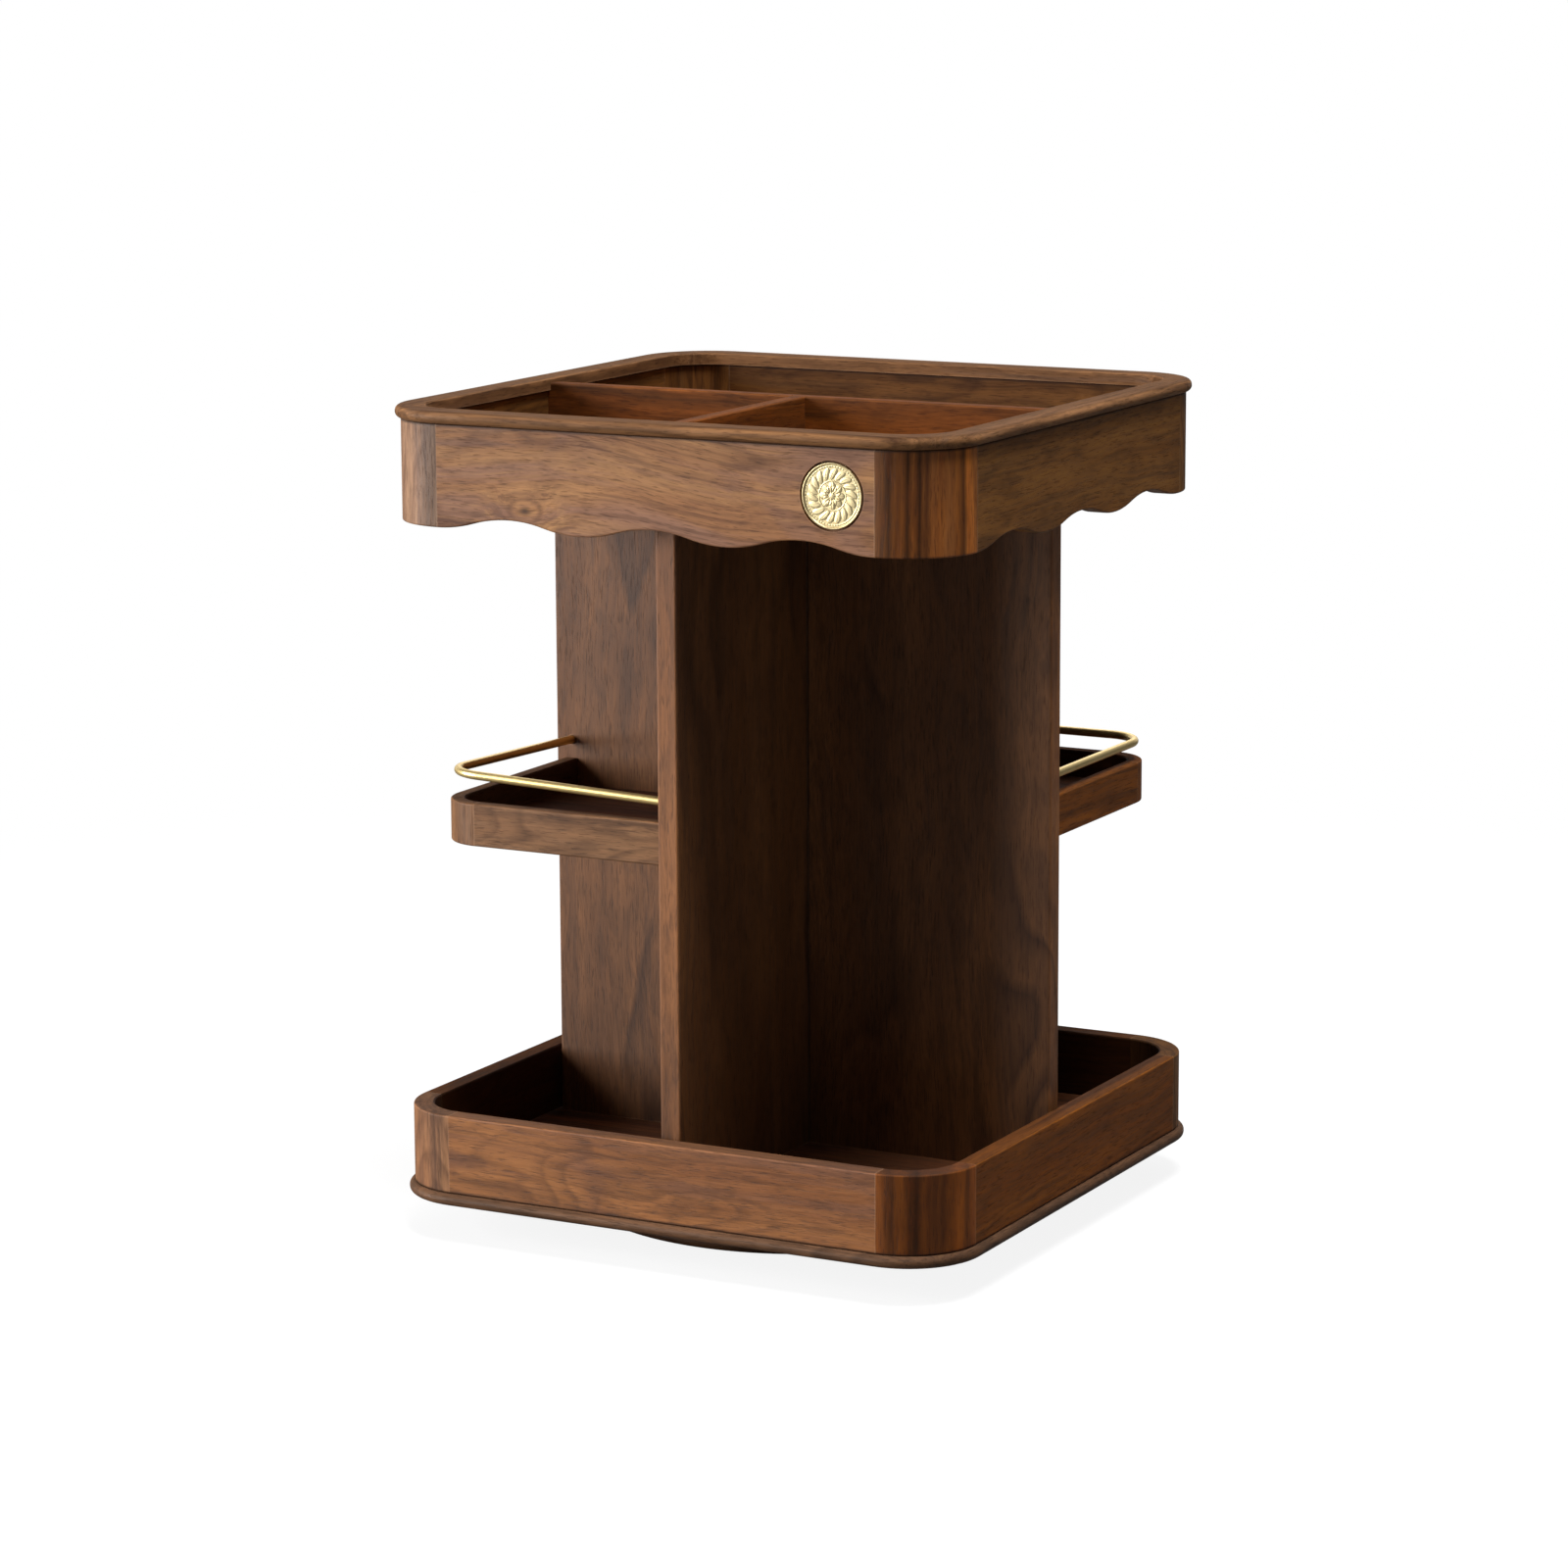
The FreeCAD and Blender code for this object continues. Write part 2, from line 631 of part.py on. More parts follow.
def make_base():
    """Base plate, inner floor, four wall boards and four corner blocks."""
    drills = screw_set("panel_drill", clearance="screw_clearance", **PANEL_SCREWS)
    pilots = screw_set("outer_ring_pilot", clearance="screw_clearance", **OUTER_RING_SCREWS)

    plate = new_body("plate_blank")
    sketch = outline(new_sketch(plate, "plan"), rounded_square(edge_half, edge_radius))
    pad = extrude(plate, "Pad", "board", sketch, "plate_thickness")
    bullnosed(plate, pad, "plate_thickness", edge_half)
    place(plate, z=plate_bottom)
    cut_with(plate, [drills, pilots], "base_plate")

    floor = new_body("floor_blank")
    half = f"({inner_half} - floor_clearance)"
    sketch = outline(
        new_sketch(floor, "plan"),
        rounded_square(half, f"({inner_radius} - floor_clearance)"),
    )
    extrude(floor, "Pad", "board", sketch, "floor_thickness")
    place(floor, z=plate_top)
    cut_with(floor, [drills, pilots], "base_floor")

    for side, angle in SIDES:
        wall = eased_board(
            f"base_wall_{side}",
            straight_run,
            "wall_thickness",
            "base_wall_height",
            ["0", "base_wall_height"],
        )
        x, y = turned("0", f"-{wall_middle}", angle)
        keep(place(wall, x, y, plate_top, FreeCAD.Rotation(Z_AXIS, angle)))

    for corner, angle in CORNERS:
        block = corner_block(
            f"base_corner_{corner}",
            "corner_radius",
            inner_radius,
            "base_wall_height",
            ["0", "base_wall_height"],
        )
        x, y = turned(corner_centre, corner_centre, angle)
        keep(place(block, x, y, plate_top, FreeCAD.Rotation(Z_AXIS, angle)))

    keep(screw_set("panel_screws", **PANEL_SCREWS))


# Upright panels


def crossed_panel(label, open_at_top):
    """Panel in the XZ plane with the slot of a halving joint up to its mid height."""
    body = new_body(label)
    sketch = new_sketch(body, "face", "XZ_Plane")
    slot = f"({panel_face} + lap_clearance)"
    middle = "(panel_height / 2)"
    far = panel_half_span
    if open_at_top:
        corners = [
            (f"-{far}", "0"),
            (far, "0"),
            (far, "panel_height"),
            (slot, "panel_height"),
            (slot, middle),
            (f"-{slot}", middle),
            (f"-{slot}", "panel_height"),
            (f"-{far}", "panel_height"),
        ]
    else:
        corners = [
            (f"-{far}", "0"),
            (f"-{slot}", "0"),
            (f"-{slot}", middle),
            (slot, middle),
            (slot, "0"),
            (far, "0"),
            (far, "panel_height"),
            (f"-{far}", "panel_height"),
        ]
    outline(sketch, corners)
    board = extrude(body, "Pad", "board", sketch, "panel_thickness", symmetric=True)
    span = value(panel_half_span)
    round_edges(
        body,
        "arris",
        board,
        "panel_arris",
        lambda edge: abs(reach(edge) - span) < 1e-4 and edge.BoundBox.ZLength > 1,
    )
    return body


def shelf_dowel_rods(prefix, angle, clearance):
    """Dowels from a shelf floor into both panels, or the tools that drill for them."""
    radius = f"(shelf_dowel_radius + {clearance})"
    start = f"({panel_face} - shelf_dowel_in_panel - {clearance})"
    length = f"(shelf_dowel_in_panel + shelf_dowel_in_floor + 2 * {clearance})"
    turn = FreeCAD.Rotation(Z_AXIS, angle)
    rods = []
    for place_name, along in (("near", "shelf_dowel_near"), ("far", shelf_dowel_far)):
        for axis_name, direction, x, y in (
            ("x", X_AXIS, start, along),
            ("y", Y_AXIS, along, start),
        ):
            turned_x, turned_y = turned(x, y, angle)
            name = f"{prefix}_{axis_name}_{place_name}"
            heading = turn.multVec(direction)
            piece = rod(name, radius, length, turned_x, turned_y, shelf_dowel_height, heading)
            rods.append(piece)
    return rods


def rail_bores(prefix, angle):
    """Tools that drill the two holes of a rail, one into each panel."""
    radius = "(rail_radius + rail_hole_clearance)"
    depth = f"({panel_face})"
    turn = FreeCAD.Rotation(Z_AXIS, angle)
    bores = []
    for axis_name, direction, x, y in (
        ("x", X_AXIS, "0", rail_line),
        ("y", Y_AXIS, rail_line, "0"),
    ):
        turned_x, turned_y = turned(x, y, angle)
        name = f"{prefix}_{axis_name}"
        heading = turn.multVec(direction)
        bores.append(rod(name, radius, f"2 * {depth}", turned_x, turned_y, rail_height, heading))
    return bores


def dowel_rods(prefix, clearance):
    """Dowels that stand in the panels' top edges, or the tools that drill for them."""
    radius = f"(panel_dowel_radius + {clearance})"
    bottom = f"({panel_top} - panel_dowel_below - {clearance})"
    length = f"(panel_dowel_below + panel_dowel_above + 2 * {clearance})"
    rods = []
    for ring, pitch in (("inner", "inner_fixing_radius"), ("outer", outer_fixing_radius)):
        for angle in (0, 90, 180, 270):
            x, y = turned(pitch, "0", angle)
            rods.append(rod(f"{prefix}_{ring}_{angle}", radius, length, x, y, bottom))
    return rods


def make_panels():
    """Two panels halved into each other, with the holes of everything that enters them."""
    screw_holes = screw_set("panel_pilot", clearance="screw_clearance", **PANEL_SCREWS)
    dowel_holes = dowel_rods("panel_dowel_hole", "screw_clearance")
    shelf_holes = []
    rail_holes = []
    for side, angle in (("right", 0), ("left", 180)):
        shelf_holes += shelf_dowel_rods(f"{side}_shelf_hole", angle, "screw_clearance")
        rail_holes += rail_bores(f"{side}_rail_hole", angle)
    drillings = [screw_holes] + dowel_holes + shelf_holes + rail_holes
    across = place(crossed_panel("across_blank", False), z=floor_top)
    deep = crossed_panel("deep_blank", True)
    place(deep, z=floor_top, rotation=FreeCAD.Rotation(Z_AXIS, 90))
    cut_with(across, drillings, "panel_across")
    cut_with(deep, drillings, "panel_deep")

    dowels = doc.addObject("Part::Compound", "panel_dowels")
    dowels.Links = dowel_rods("panel_dowel", "0")
    keep(dowels, "panel_dowels")


# Shelf trays and rails


def make_shelf(side, angle, along_lip):
    """Floor, two lips and a corner block in one quarter, with the dowels that carry them."""
    turn = FreeCAD.Rotation(Z_AXIS, angle)
    floor = new_body(f"shelf_{side}_blank")
    corners = [
        (panel_face, panel_face),
        (shelf_inside, panel_face),
        (shelf_inside, shelf_bend, shelf_inner_radius, 1),
        (shelf_bend, shelf_inside),
        (panel_face, shelf_inside),
    ]
    sketch = outline(new_sketch(floor, "plan"), corners)
    extrude(floor, "Pad", "board", sketch, "shelf_floor_thickness")
    place(floor, z=shelf_bottom, rotation=turn)
    holes = shelf_dowel_rods(f"shelf_{side}_floor_hole", angle, "screw_clearance")
    cut_with(floor, holes, f"shelf_{side}_floor")

    run = f"({shelf_bend} - {panel_face})"
    middle = f"({panel_face} + {run} / 2)"
    line = f"({shelf_reach} - lip_thickness / 2)"
    lips = ((along_lip, middle, line, 180), ("side_lip", line, middle, 90))
    for name, x, y, lip_angle in lips:
        label = f"shelf_{side}_{name}"
        lip = eased_board(label, run, "lip_thickness", "shelf_height", ["0", "shelf_height"])
        turned_x, turned_y = turned(x, y, angle)
        lip_turn = FreeCAD.Rotation(Z_AXIS, angle + lip_angle)
        keep(place(lip, turned_x, turned_y, shelf_bottom, lip_turn))

    block = corner_block(
        f"shelf_{side}_corner",
        "shelf_corner_radius",
        shelf_inner_radius,
        "shelf_height",
        ["0", "shelf_height"],
    )
    x, y = turned(shelf_bend, shelf_bend, angle)
    keep(place(block, x, y, shelf_bottom, turn))

    dowels = doc.addObject("Part::Compound", f"shelf_{side}_dowels")
    dowels.Links = shelf_dowel_rods(f"shelf_{side}_dowel", angle, "0")
    keep(dowels, f"shelf_{side}_dowels")


def make_rail(side, angle, lean):
    """
    Bent rod above a shelf, from one panel to the other. It starts at its own origin and runs
    along +Y, round the bend and back along -X. It leans about the line through its two ends.
    """
    body = new_body(f"rail_{side}")
    start = f"({rail_line} - rail_end_clearance)"
    path = new_sketch(body, "path")
    run = f"({start} - rail_bend_radius)"
    bend_from = FreeCAD.Vector(0, value(run), 0)
    bend_to = FreeCAD.Vector(-value("rail_bend_radius"), value(start), 0)
    centre = FreeCAD.Vector(-value("rail_bend_radius"), value(run), 0)
    end = FreeCAD.Vector(-value(start), value(start), 0)
    first = path.addGeometry(Part.LineSegment(FreeCAD.Vector(0, 0, 0), bend_from))
    arc_circle = Part.Circle(centre, Z_AXIS, value("rail_bend_radius"))
    bend = path.addGeometry(Part.ArcOfCircle(arc_circle, 0, math.pi / 2))
    last = path.addGeometry(Part.LineSegment(bend_to, end))
    path.addConstraint(Sketcher.Constraint("Coincident", first, 1, -1, 1))
    path.addConstraint(Sketcher.Constraint("Vertical", first))
    path.addConstraint(Sketcher.Constraint("Horizontal", last))
    path.addConstraint(Sketcher.Constraint("Tangent", first, 2, bend, 1))
    path.addConstraint(Sketcher.Constraint("Tangent", bend, 2, last, 1))
    fix_coordinate(path, "DistanceX", last, 2, f"-{start}")
    fix_coordinate(path, "DistanceY", last, 2, start)
    number = path.addConstraint(Sketcher.Constraint("Radius", bend, value("rail_bend_radius")))
    path.renameConstraint(number, "bend_radius")
    bind(path, "Constraints.bend_radius", "rail_bend_radius")

    section = new_sketch(body, "section", "XZ_Plane")
    circle(section, "0", "0", "rail_radius")
    pipe = body.newObject("PartDesign::AdditivePipe", f"rail_{side}_pipe")
    pipe.Profile = section
    pipe.Spine = (path, ["Edge1", "Edge2", "Edge3"])
    doc.recompute()

    lean_angle = math.degrees(math.asin(value(lean) * math.sqrt(2) / value(start)))
    leaning = FreeCAD.Rotation(FreeCAD.Vector(1, -1, 0), lean_angle)
    x, y = turned(rail_line, "rail_end_clearance", angle)
    place(body, x, y, rail_height, FreeCAD.Rotation(Z_AXIS, angle).multiply(leaning))
    keep(body)


# Upper tray


def wavy_edge(length):
    """
    Corners of the skirt's lower edge from left to right. Each wave is two arcs that meet at mid
    depth, and both ends lie in the bottom of a trough.
    """
    quarter = f"({length} / {4 * WAVES_PER_SIDE})"
    middle = "(wave_depth / 2)"
    radius = f"(({quarter} ^ 2 + {middle} ^ 2) / wave_depth)"
    corners = [(f"-{length} / 2", "0", radius, 1)]
    for number in range(2 * WAVES_PER_SIDE):
        crest = number % 2 == 0
        x = f"{quarter} * {2 * number + 1 - 2 * WAVES_PER_SIDE}"
        corners.append((x, middle, radius, -1 if crest else 1))
    corners.append((f"{length} / 2", "0"))
    return corners


def make_skirts():
    """Four boards with a wavy lower edge and four corner blocks, grooved for the tray floor."""
    half_run = f"({straight_run} / 2)"
    groove_top = "(skirt_drop + tray_floor_thickness)"
    for side, angle in SIDES:
        body = new_body(f"skirt_{side}")
        corners = wavy_edge(straight_run)
        corners += [(half_run, "skirt_height"), (f"-{half_run}", "skirt_height")]
        face = outline(new_sketch(body, "face", "XZ_Plane"), corners)
        board = extrude(body, "Pad", "board", face, "wall_thickness", symmetric=True)
        depth = value("wave_depth")
        top = value("skirt_height")
        eased = round_edges(
            body,
            "arris",
            board,
            "arris",
            lambda edge: edge.BoundBox.YLength < 1e-4
            and (edge.BoundBox.ZMax < depth + 0.1 or edge.BoundBox.ZMin > top - 1e-4),
        )
        plan = new_sketch(body, "groove", "XY_Plane", groove_top)
        face_line = "(wall_thickness / 2)"
        groove = rectangle(f"-{half_run}", half_run, f"{face_line} - groove_depth", face_line)
        outline(plan, groove)
        extrude(body, "Pocket", "groove", plan, "tray_floor_thickness")
        if side == "front":
            plan = new_sketch(body, "recess", "XZ_Plane", face_line)
            circle(plan, medallion_x, "medallion_rise", "recess_radius")
            extrude(body, "Pocket", "recess", plan, "recess_depth")
        x, y = turned("0", f"-{wall_middle}", angle)
        keep(place(body, x, y, skirt_bottom, FreeCAD.Rotation(Z_AXIS, angle)))

    for corner, angle in CORNERS:
        body = corner_block(
            f"skirt_corner_{corner}",
            "corner_radius",
            inner_radius,
            "skirt_height",
            ["0", "skirt_height"],
        )
        plan = new_sketch(body, "groove", "XY_Plane", groove_top)
        groove_radius = f"({inner_radius} + groove_depth)"
        outline(plan, [("0", "0"), (groove_radius, "0", groove_radius, 1), ("0", groove_radius)])
        extrude(body, "Pocket", "groove", plan, "tray_floor_thickness")
        x, y = turned(corner_centre, corner_centre, angle)
        keep(place(body, x, y, skirt_bottom, FreeCAD.Rotation(Z_AXIS, angle)))


def make_top_floor_and_rim():
    """Floor in the skirts' groove and the rounded moulding on their top."""
    floor = new_body("tray_floor_blank")
    tongue = "(groove_depth - groove_clearance)"
    sketch = outline(
        new_sketch(floor, "plan"),
        rounded_square(f"({inner_half} + {tongue})", f"({inner_radius} + {tongue})"),
    )
    extrude(floor, "Pad", "board", sketch, "tray_floor_thickness")
    place(floor, z=panel_top)
    cut_with(floor, dowel_rods("tray_floor_hole", "screw_clearance"), "tray_floor")

    rim = new_body("top_rim")
    sketch = new_sketch(rim, "plan")
    outline(sketch, rounded_square(edge_half, edge_radius))
    outline(sketch, rounded_square(rim_inner_half, f"({edge_radius} - rim_width)"))
    ring = extrude(rim, "Pad", "ring", sketch, "rim_thickness")
    rounded = bullnosed(rim, ring, "rim_thickness", edge_half)
    inside = value(rim_inner_half)
    top = value("rim_thickness")
    round_edges(
        rim,
        "inner_arris",
        rounded,
        "arris",
        lambda edge: at_height(edge, top) and reach(edge) < inside + 1e-3,
    )
    keep(place(rim, z=skirt_top))


def divider_side(inner_end):
    """
    Corners of a divider's face from one skirt to its other end. Under the rim it reaches the
    skirt, and above the rim's underside it is notched back to the rim's inner face.
    """
    rim_level = f"({skirt_top} - {tray_floor_top})"
    height = f"({divider_top} - {tray_floor_top})"
    return [
        (inner_end, "0"),
        (inner_half, "0"),
        (inner_half, rim_level),
        (rim_inner_half, rim_level),
        (rim_inner_half, height),
        (inner_end, height),
    ]


def make_dividers():
    """Long divider from side to side, and a short one from the front housed in it."""
    half_thickness = "(divider_thickness / 2)"
    height = value(f"{divider_top} - {tray_floor_top}")

    long_body = new_body("long_divider_blank")
    right = divider_side("0")[1:5]
    left = [(f"-{x}", y) for x, y in reversed(right)]
    face = outline(new_sketch(long_body, "face", "XZ_Plane"), right + left)
    board = extrude(long_body, "Pad", "board", face, "divider_thickness", symmetric=True)
    round_edges(long_body, "arris", board, "arris", lambda edge: on_top(edge, height))
    place(long_body, z=tray_floor_top)

    end = f"({half_thickness} - housing_depth)"
    slot = doc.addObject("Part::Box", "housing")
    slot_half = f"({half_thickness} + divider_clearance)"
    bind(slot, "Length", f"2 * {slot_half}")
    bind(slot, "Width", f"{half_thickness} + housing_depth")
    bind(slot, "Height", "skirt_height + rim_thickness")
    place(slot, f"-{slot_half}", f"-{end} - {half_thickness} - housing_depth", tray_floor_top)
    cut_with(long_body, [slot], "divider_long")

    short_body = new_body("divider_short")
    start = f"({end} + divider_clearance)"
    face = outline(new_sketch(short_body, "face", "XZ_Plane"), divider_side(start))
    board = extrude(short_body, "Pad", "board", face, "divider_thickness", symmetric=True)
    round_edges(short_body, "arris", board, "arris", lambda edge: on_top(edge, height))
    keep(place(short_body, z=tray_floor_top, rotation=FreeCAD.Rotation(Z_AXIS, 270)))


def on_top(edge, height):
    """Tells whether an edge is a long one along X at the top of a divider."""
    return at_height(edge, height) and edge.BoundBox.XLength > 20


def make_medallion():
    """Brass disc with a raised border and an eight-petalled rosette in low relief."""
    body = new_body("medallion")
    sketch = new_sketch(body, "profile", "XZ_Plane")
    field = "(medallion_thickness - medallion_relief)"
    border_inside = "(medallion_radius - medallion_border)"
    corners = [
        ("0", "0"),
        ("medallion_radius", "0"),
        ("medallion_radius", "medallion_thickness"),
        (border_inside, "medallion_thickness"),
        (border_inside, field),
        ("medallion_boss_radius", field),
        ("medallion_boss_radius", "medallion_thickness"),
        ("0", "medallion_thickness"),
    ]
    outline(sketch, corners)
    revolve(body, "disc", sketch)
    petal_start = "(medallion_boss_radius + 0.25 * medallion_relief)"
    petal_end = f"({petal_start} + medallion_petal_length)"
    petal_radius = "(0.62 * medallion_petal_length)"
    plan = new_sketch(body, "petal", "XY_Plane", field)
    outline(
        plan,
        [(petal_start, "0", petal_radius, 1), (petal_end, "0", petal_radius, 1)],
    )
    petal = extrude(body, "Pad", "petal", plan, "0.8 * medallion_relief")
    repeat_round(body, "rosette", [petal], "medallion_petals")
    y = f"-({half_side} - recess_depth)"
    keep(place(body, medallion_x, y, medallion_height, FreeCAD.Rotation(X_AXIS, 90)))


def check_document():
    """Stops if a feature failed or a sub-part's shape isn't whole."""
    for item in doc.Objects:
        if "Invalid" in item.State or "Error" in item.State:
            raise RuntimeError(f"{item.Label} failed: {item.State}")
    for item in sub_parts:
        if item.Shape.isNull() or not item.Shape.isValid():
            raise RuntimeError(f"{item.Label} has no valid shape")


make_foot()
make_bearing()
make_base()
make_panels()
for shelf_side, shelf_angle, lip_name in (("left", 180, "front_lip"), ("right", 0, "back_lip")):
    make_shelf(shelf_side, shelf_angle, lip_name)
make_rail("left", 180, "rail_lean")
make_rail("right", 0, "0")
make_skirts()
make_top_floor_and_rim()
make_dividers()
make_medallion()
doc.recompute()
check_document()

os.makedirs("parts", exist_ok=True)
for sub_part in sub_parts:
    sub_part.Shape.exportStep(f"parts/{sub_part.Label}.step")
    solids = len(sub_part.Shape.Solids)
    print(f"{sub_part.Label}: {solids} solid(s), {sub_part.Shape.Volume:.1f} mm3")
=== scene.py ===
import math
from types import SimpleNamespace

import bmesh
import bpy
from mathutils import Matrix, Vector


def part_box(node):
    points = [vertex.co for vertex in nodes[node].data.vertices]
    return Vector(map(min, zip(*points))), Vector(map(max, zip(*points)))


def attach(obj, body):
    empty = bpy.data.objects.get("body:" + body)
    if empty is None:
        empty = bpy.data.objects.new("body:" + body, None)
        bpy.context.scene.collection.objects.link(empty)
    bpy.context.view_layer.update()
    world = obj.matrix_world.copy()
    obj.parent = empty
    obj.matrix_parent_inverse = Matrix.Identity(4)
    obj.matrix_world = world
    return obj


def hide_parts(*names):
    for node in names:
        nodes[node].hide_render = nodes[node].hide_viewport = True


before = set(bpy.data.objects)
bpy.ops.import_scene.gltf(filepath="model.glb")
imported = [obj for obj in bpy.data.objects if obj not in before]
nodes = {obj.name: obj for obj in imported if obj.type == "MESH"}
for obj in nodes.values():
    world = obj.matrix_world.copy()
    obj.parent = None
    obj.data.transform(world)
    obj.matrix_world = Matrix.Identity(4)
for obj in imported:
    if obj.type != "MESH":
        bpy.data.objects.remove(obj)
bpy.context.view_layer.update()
scene = bpy.context.scene

MM = 0.001
WHITE = (1.0, 1.0, 1.0, 1.0)


# Colours and node graphs

def srgb(red, green, blue):
    """A colour written as on a screen, 0 to 255, as Blender's linear colour."""
    def linear(value):
        value = value / 255.0
        if value <= 0.04045:
            return value / 12.92
        return ((value + 0.055) / 1.055) ** 2.4
    return (linear(red), linear(green), linear(blue), 1.0)


class Field:
    """A value that varies over the surface, which plain arithmetic extends."""

    def __init__(self, graph, socket):
        self.graph = graph
        self.socket = socket

    def __add__(self, other):
        return self.graph.math("ADD", self, other)

    def __sub__(self, other):
        return self.graph.math("SUBTRACT", self, other)

    def __mul__(self, other):
        return self.graph.math("MULTIPLY", self, other)

    def __truediv__(self, other):
        return self.graph.math("DIVIDE", self, other)

    def __pow__(self, other):
        return self.graph.math("POWER", self, other)

    def absolute(self):
        return self.graph.math("ABSOLUTE", self, 0.0)

    def fraction(self):
        return self.graph.math("FRACT", self, 0.0)


class Graph:
    """The node tree of a material or of the world."""

    def __init__(self, owner):
        self.owner = owner
        owner.use_nodes = True
        self.tree = owner.node_tree
        self.tree.nodes.clear()

    def feed(self, socket, value):
        if isinstance(value, Field):
            self.tree.links.new(value.socket, socket)
        else:
            socket.default_value = value

    def node(self, kind, inputs, **settings):
        made = self.tree.nodes.new(kind)
        for key, value in settings.items():
            setattr(made, key, value)
        for key, value in inputs.items():
            self.feed(made.inputs[key], value)
        return made

    def math(self, operation, first, second):
        made = self.node("ShaderNodeMath", {0: first, 1: second}, operation=operation)
        return Field(self, made.outputs[0])

    def axes(self, vector):
        """The three parts of a vector."""
        parts = self.node("ShaderNodeSeparateXYZ", {0: vector})
        return [Field(self, parts.outputs[i]) for i in range(3)]

    def coordinate(self, kind):
        made = self.node("ShaderNodeTexCoord", {})
        return self.axes(Field(self, made.outputs[kind]))

    def place(self):
        """The point's place on the object, in millimetres along X, Y and Z."""
        return [part * 1000.0 for part in self.coordinate("Object")]

    def vector(self, x, y, z):
        made = self.node("ShaderNodeCombineXYZ", {0: x, 1: y, 2: z})
        return Field(self, made.outputs[0])

    def noise(self, vector, detail=2.0, roughness=0.5, distortion=0.0):
        inputs = {"Vector": vector, "Scale": 1.0, "Detail": detail}
        inputs.update({"Roughness": roughness, "Distortion": distortion})
        return Field(self, self.node("ShaderNodeTexNoise", inputs).outputs[0])

    def spread(self, value, low, high, to_low=0.0, to_high=1.0):
        """Takes low..high to to_low..to_high, held at both ends."""
        made = self.node(
            "ShaderNodeMapRange",
            {0: value, 1: low, 2: high, 3: to_low, 4: to_high},
            clamp=True,
            interpolation_type="SMOOTHSTEP",
        )
        return Field(self, made.outputs[0])

    def ramp(self, value, stops):
        """Greys along a ramp, from pairs of place and brightness."""
        made = self.node("ShaderNodeValToRGB", {0: value})
        elements = made.color_ramp.elements
        while len(elements) < len(stops):
            elements.new(0.5)
        for element, (position, grey) in zip(elements, stops):
            element.position = position
            element.color = (grey, grey, grey, 1.0)
        return Field(self, made.outputs[0])

    def mix(self, factor, first, second, blend="MIX"):
        made = self.node("ShaderNodeMix", {}, data_type="RGBA", blend_type=blend)
        self.feed(made.inputs[0], factor)
        self.feed(made.inputs[6], first)
        self.feed(made.inputs[7], second)
        return Field(self, made.outputs[2])

    def arris(self, radius):
        """1 on sharp outside edges, 0 on flats."""
        bevel = self.node("ShaderNodeBevel", {"Radius": radius * MM}, samples=4)
        geometry = self.node("ShaderNodeNewGeometry", {})
        dot = self.node(
            "ShaderNodeVectorMath",
            {0: Field(self, bevel.outputs[0]), 1: Field(self, geometry.outputs["Normal"])},
            operation="DOT_PRODUCT",
        )
        return self.spread(Field(self, dot.outputs["Value"]), 0.995, 0.86)

    def facing(self, axis):
        """How far the face looks along an axis, -1 to 1."""
        return self.coordinate("Normal")["XYZ".index(axis)]

    def facing_middle(self):
        """1 on upright faces that look towards the object's middle, 0 on the others."""
        x, y, z = self.place()
        towards = x * self.facing("X") + y * self.facing("Y")
        return self.spread(towards / ((x * x + y * y) ** 0.5 + 1.0), -0.15, -0.45)

    def finish(self, colour, roughness, height, depth, **others):
        """Ends a material in a shader, with a bump of depth millimetres. Others are its sockets' names."""
        shader = self.node("ShaderNodeBsdfPrincipled", {"Base Color": colour, "Roughness": roughness})
        for key, value in others.items():
            self.feed(shader.inputs[key.replace("_", " ")], value)
        bump = self.node("ShaderNodeBump", {"Height": height, "Distance": depth * MM, "Strength": 1.0})
        self.tree.links.new(bump.outputs[0], shader.inputs["Normal"])
        output = self.node("ShaderNodeOutputMaterial", {})
        self.tree.links.new(shader.outputs[0], output.inputs["Surface"])
        return self.owner


def new_material(name):
    return Graph(bpy.data.materials.new(name))


def dress(name, material):
    node = nodes[name]
    node.data.materials.clear()
    node.data.materials.append(material)


# Walnut

# Pores, knots, dark joints with painted shadow lines and painted shade on upper faces; rubbed edges
# lightened with a painted highlight; painted shade on inner faces and towards the floor
DARK = srgb(46, 28, 18)
WEAR_AND_HIGHLIGHT_COLOUR = srgb(196, 156, 122)
PAINTED_SHADE = srgb(34, 18, 10)
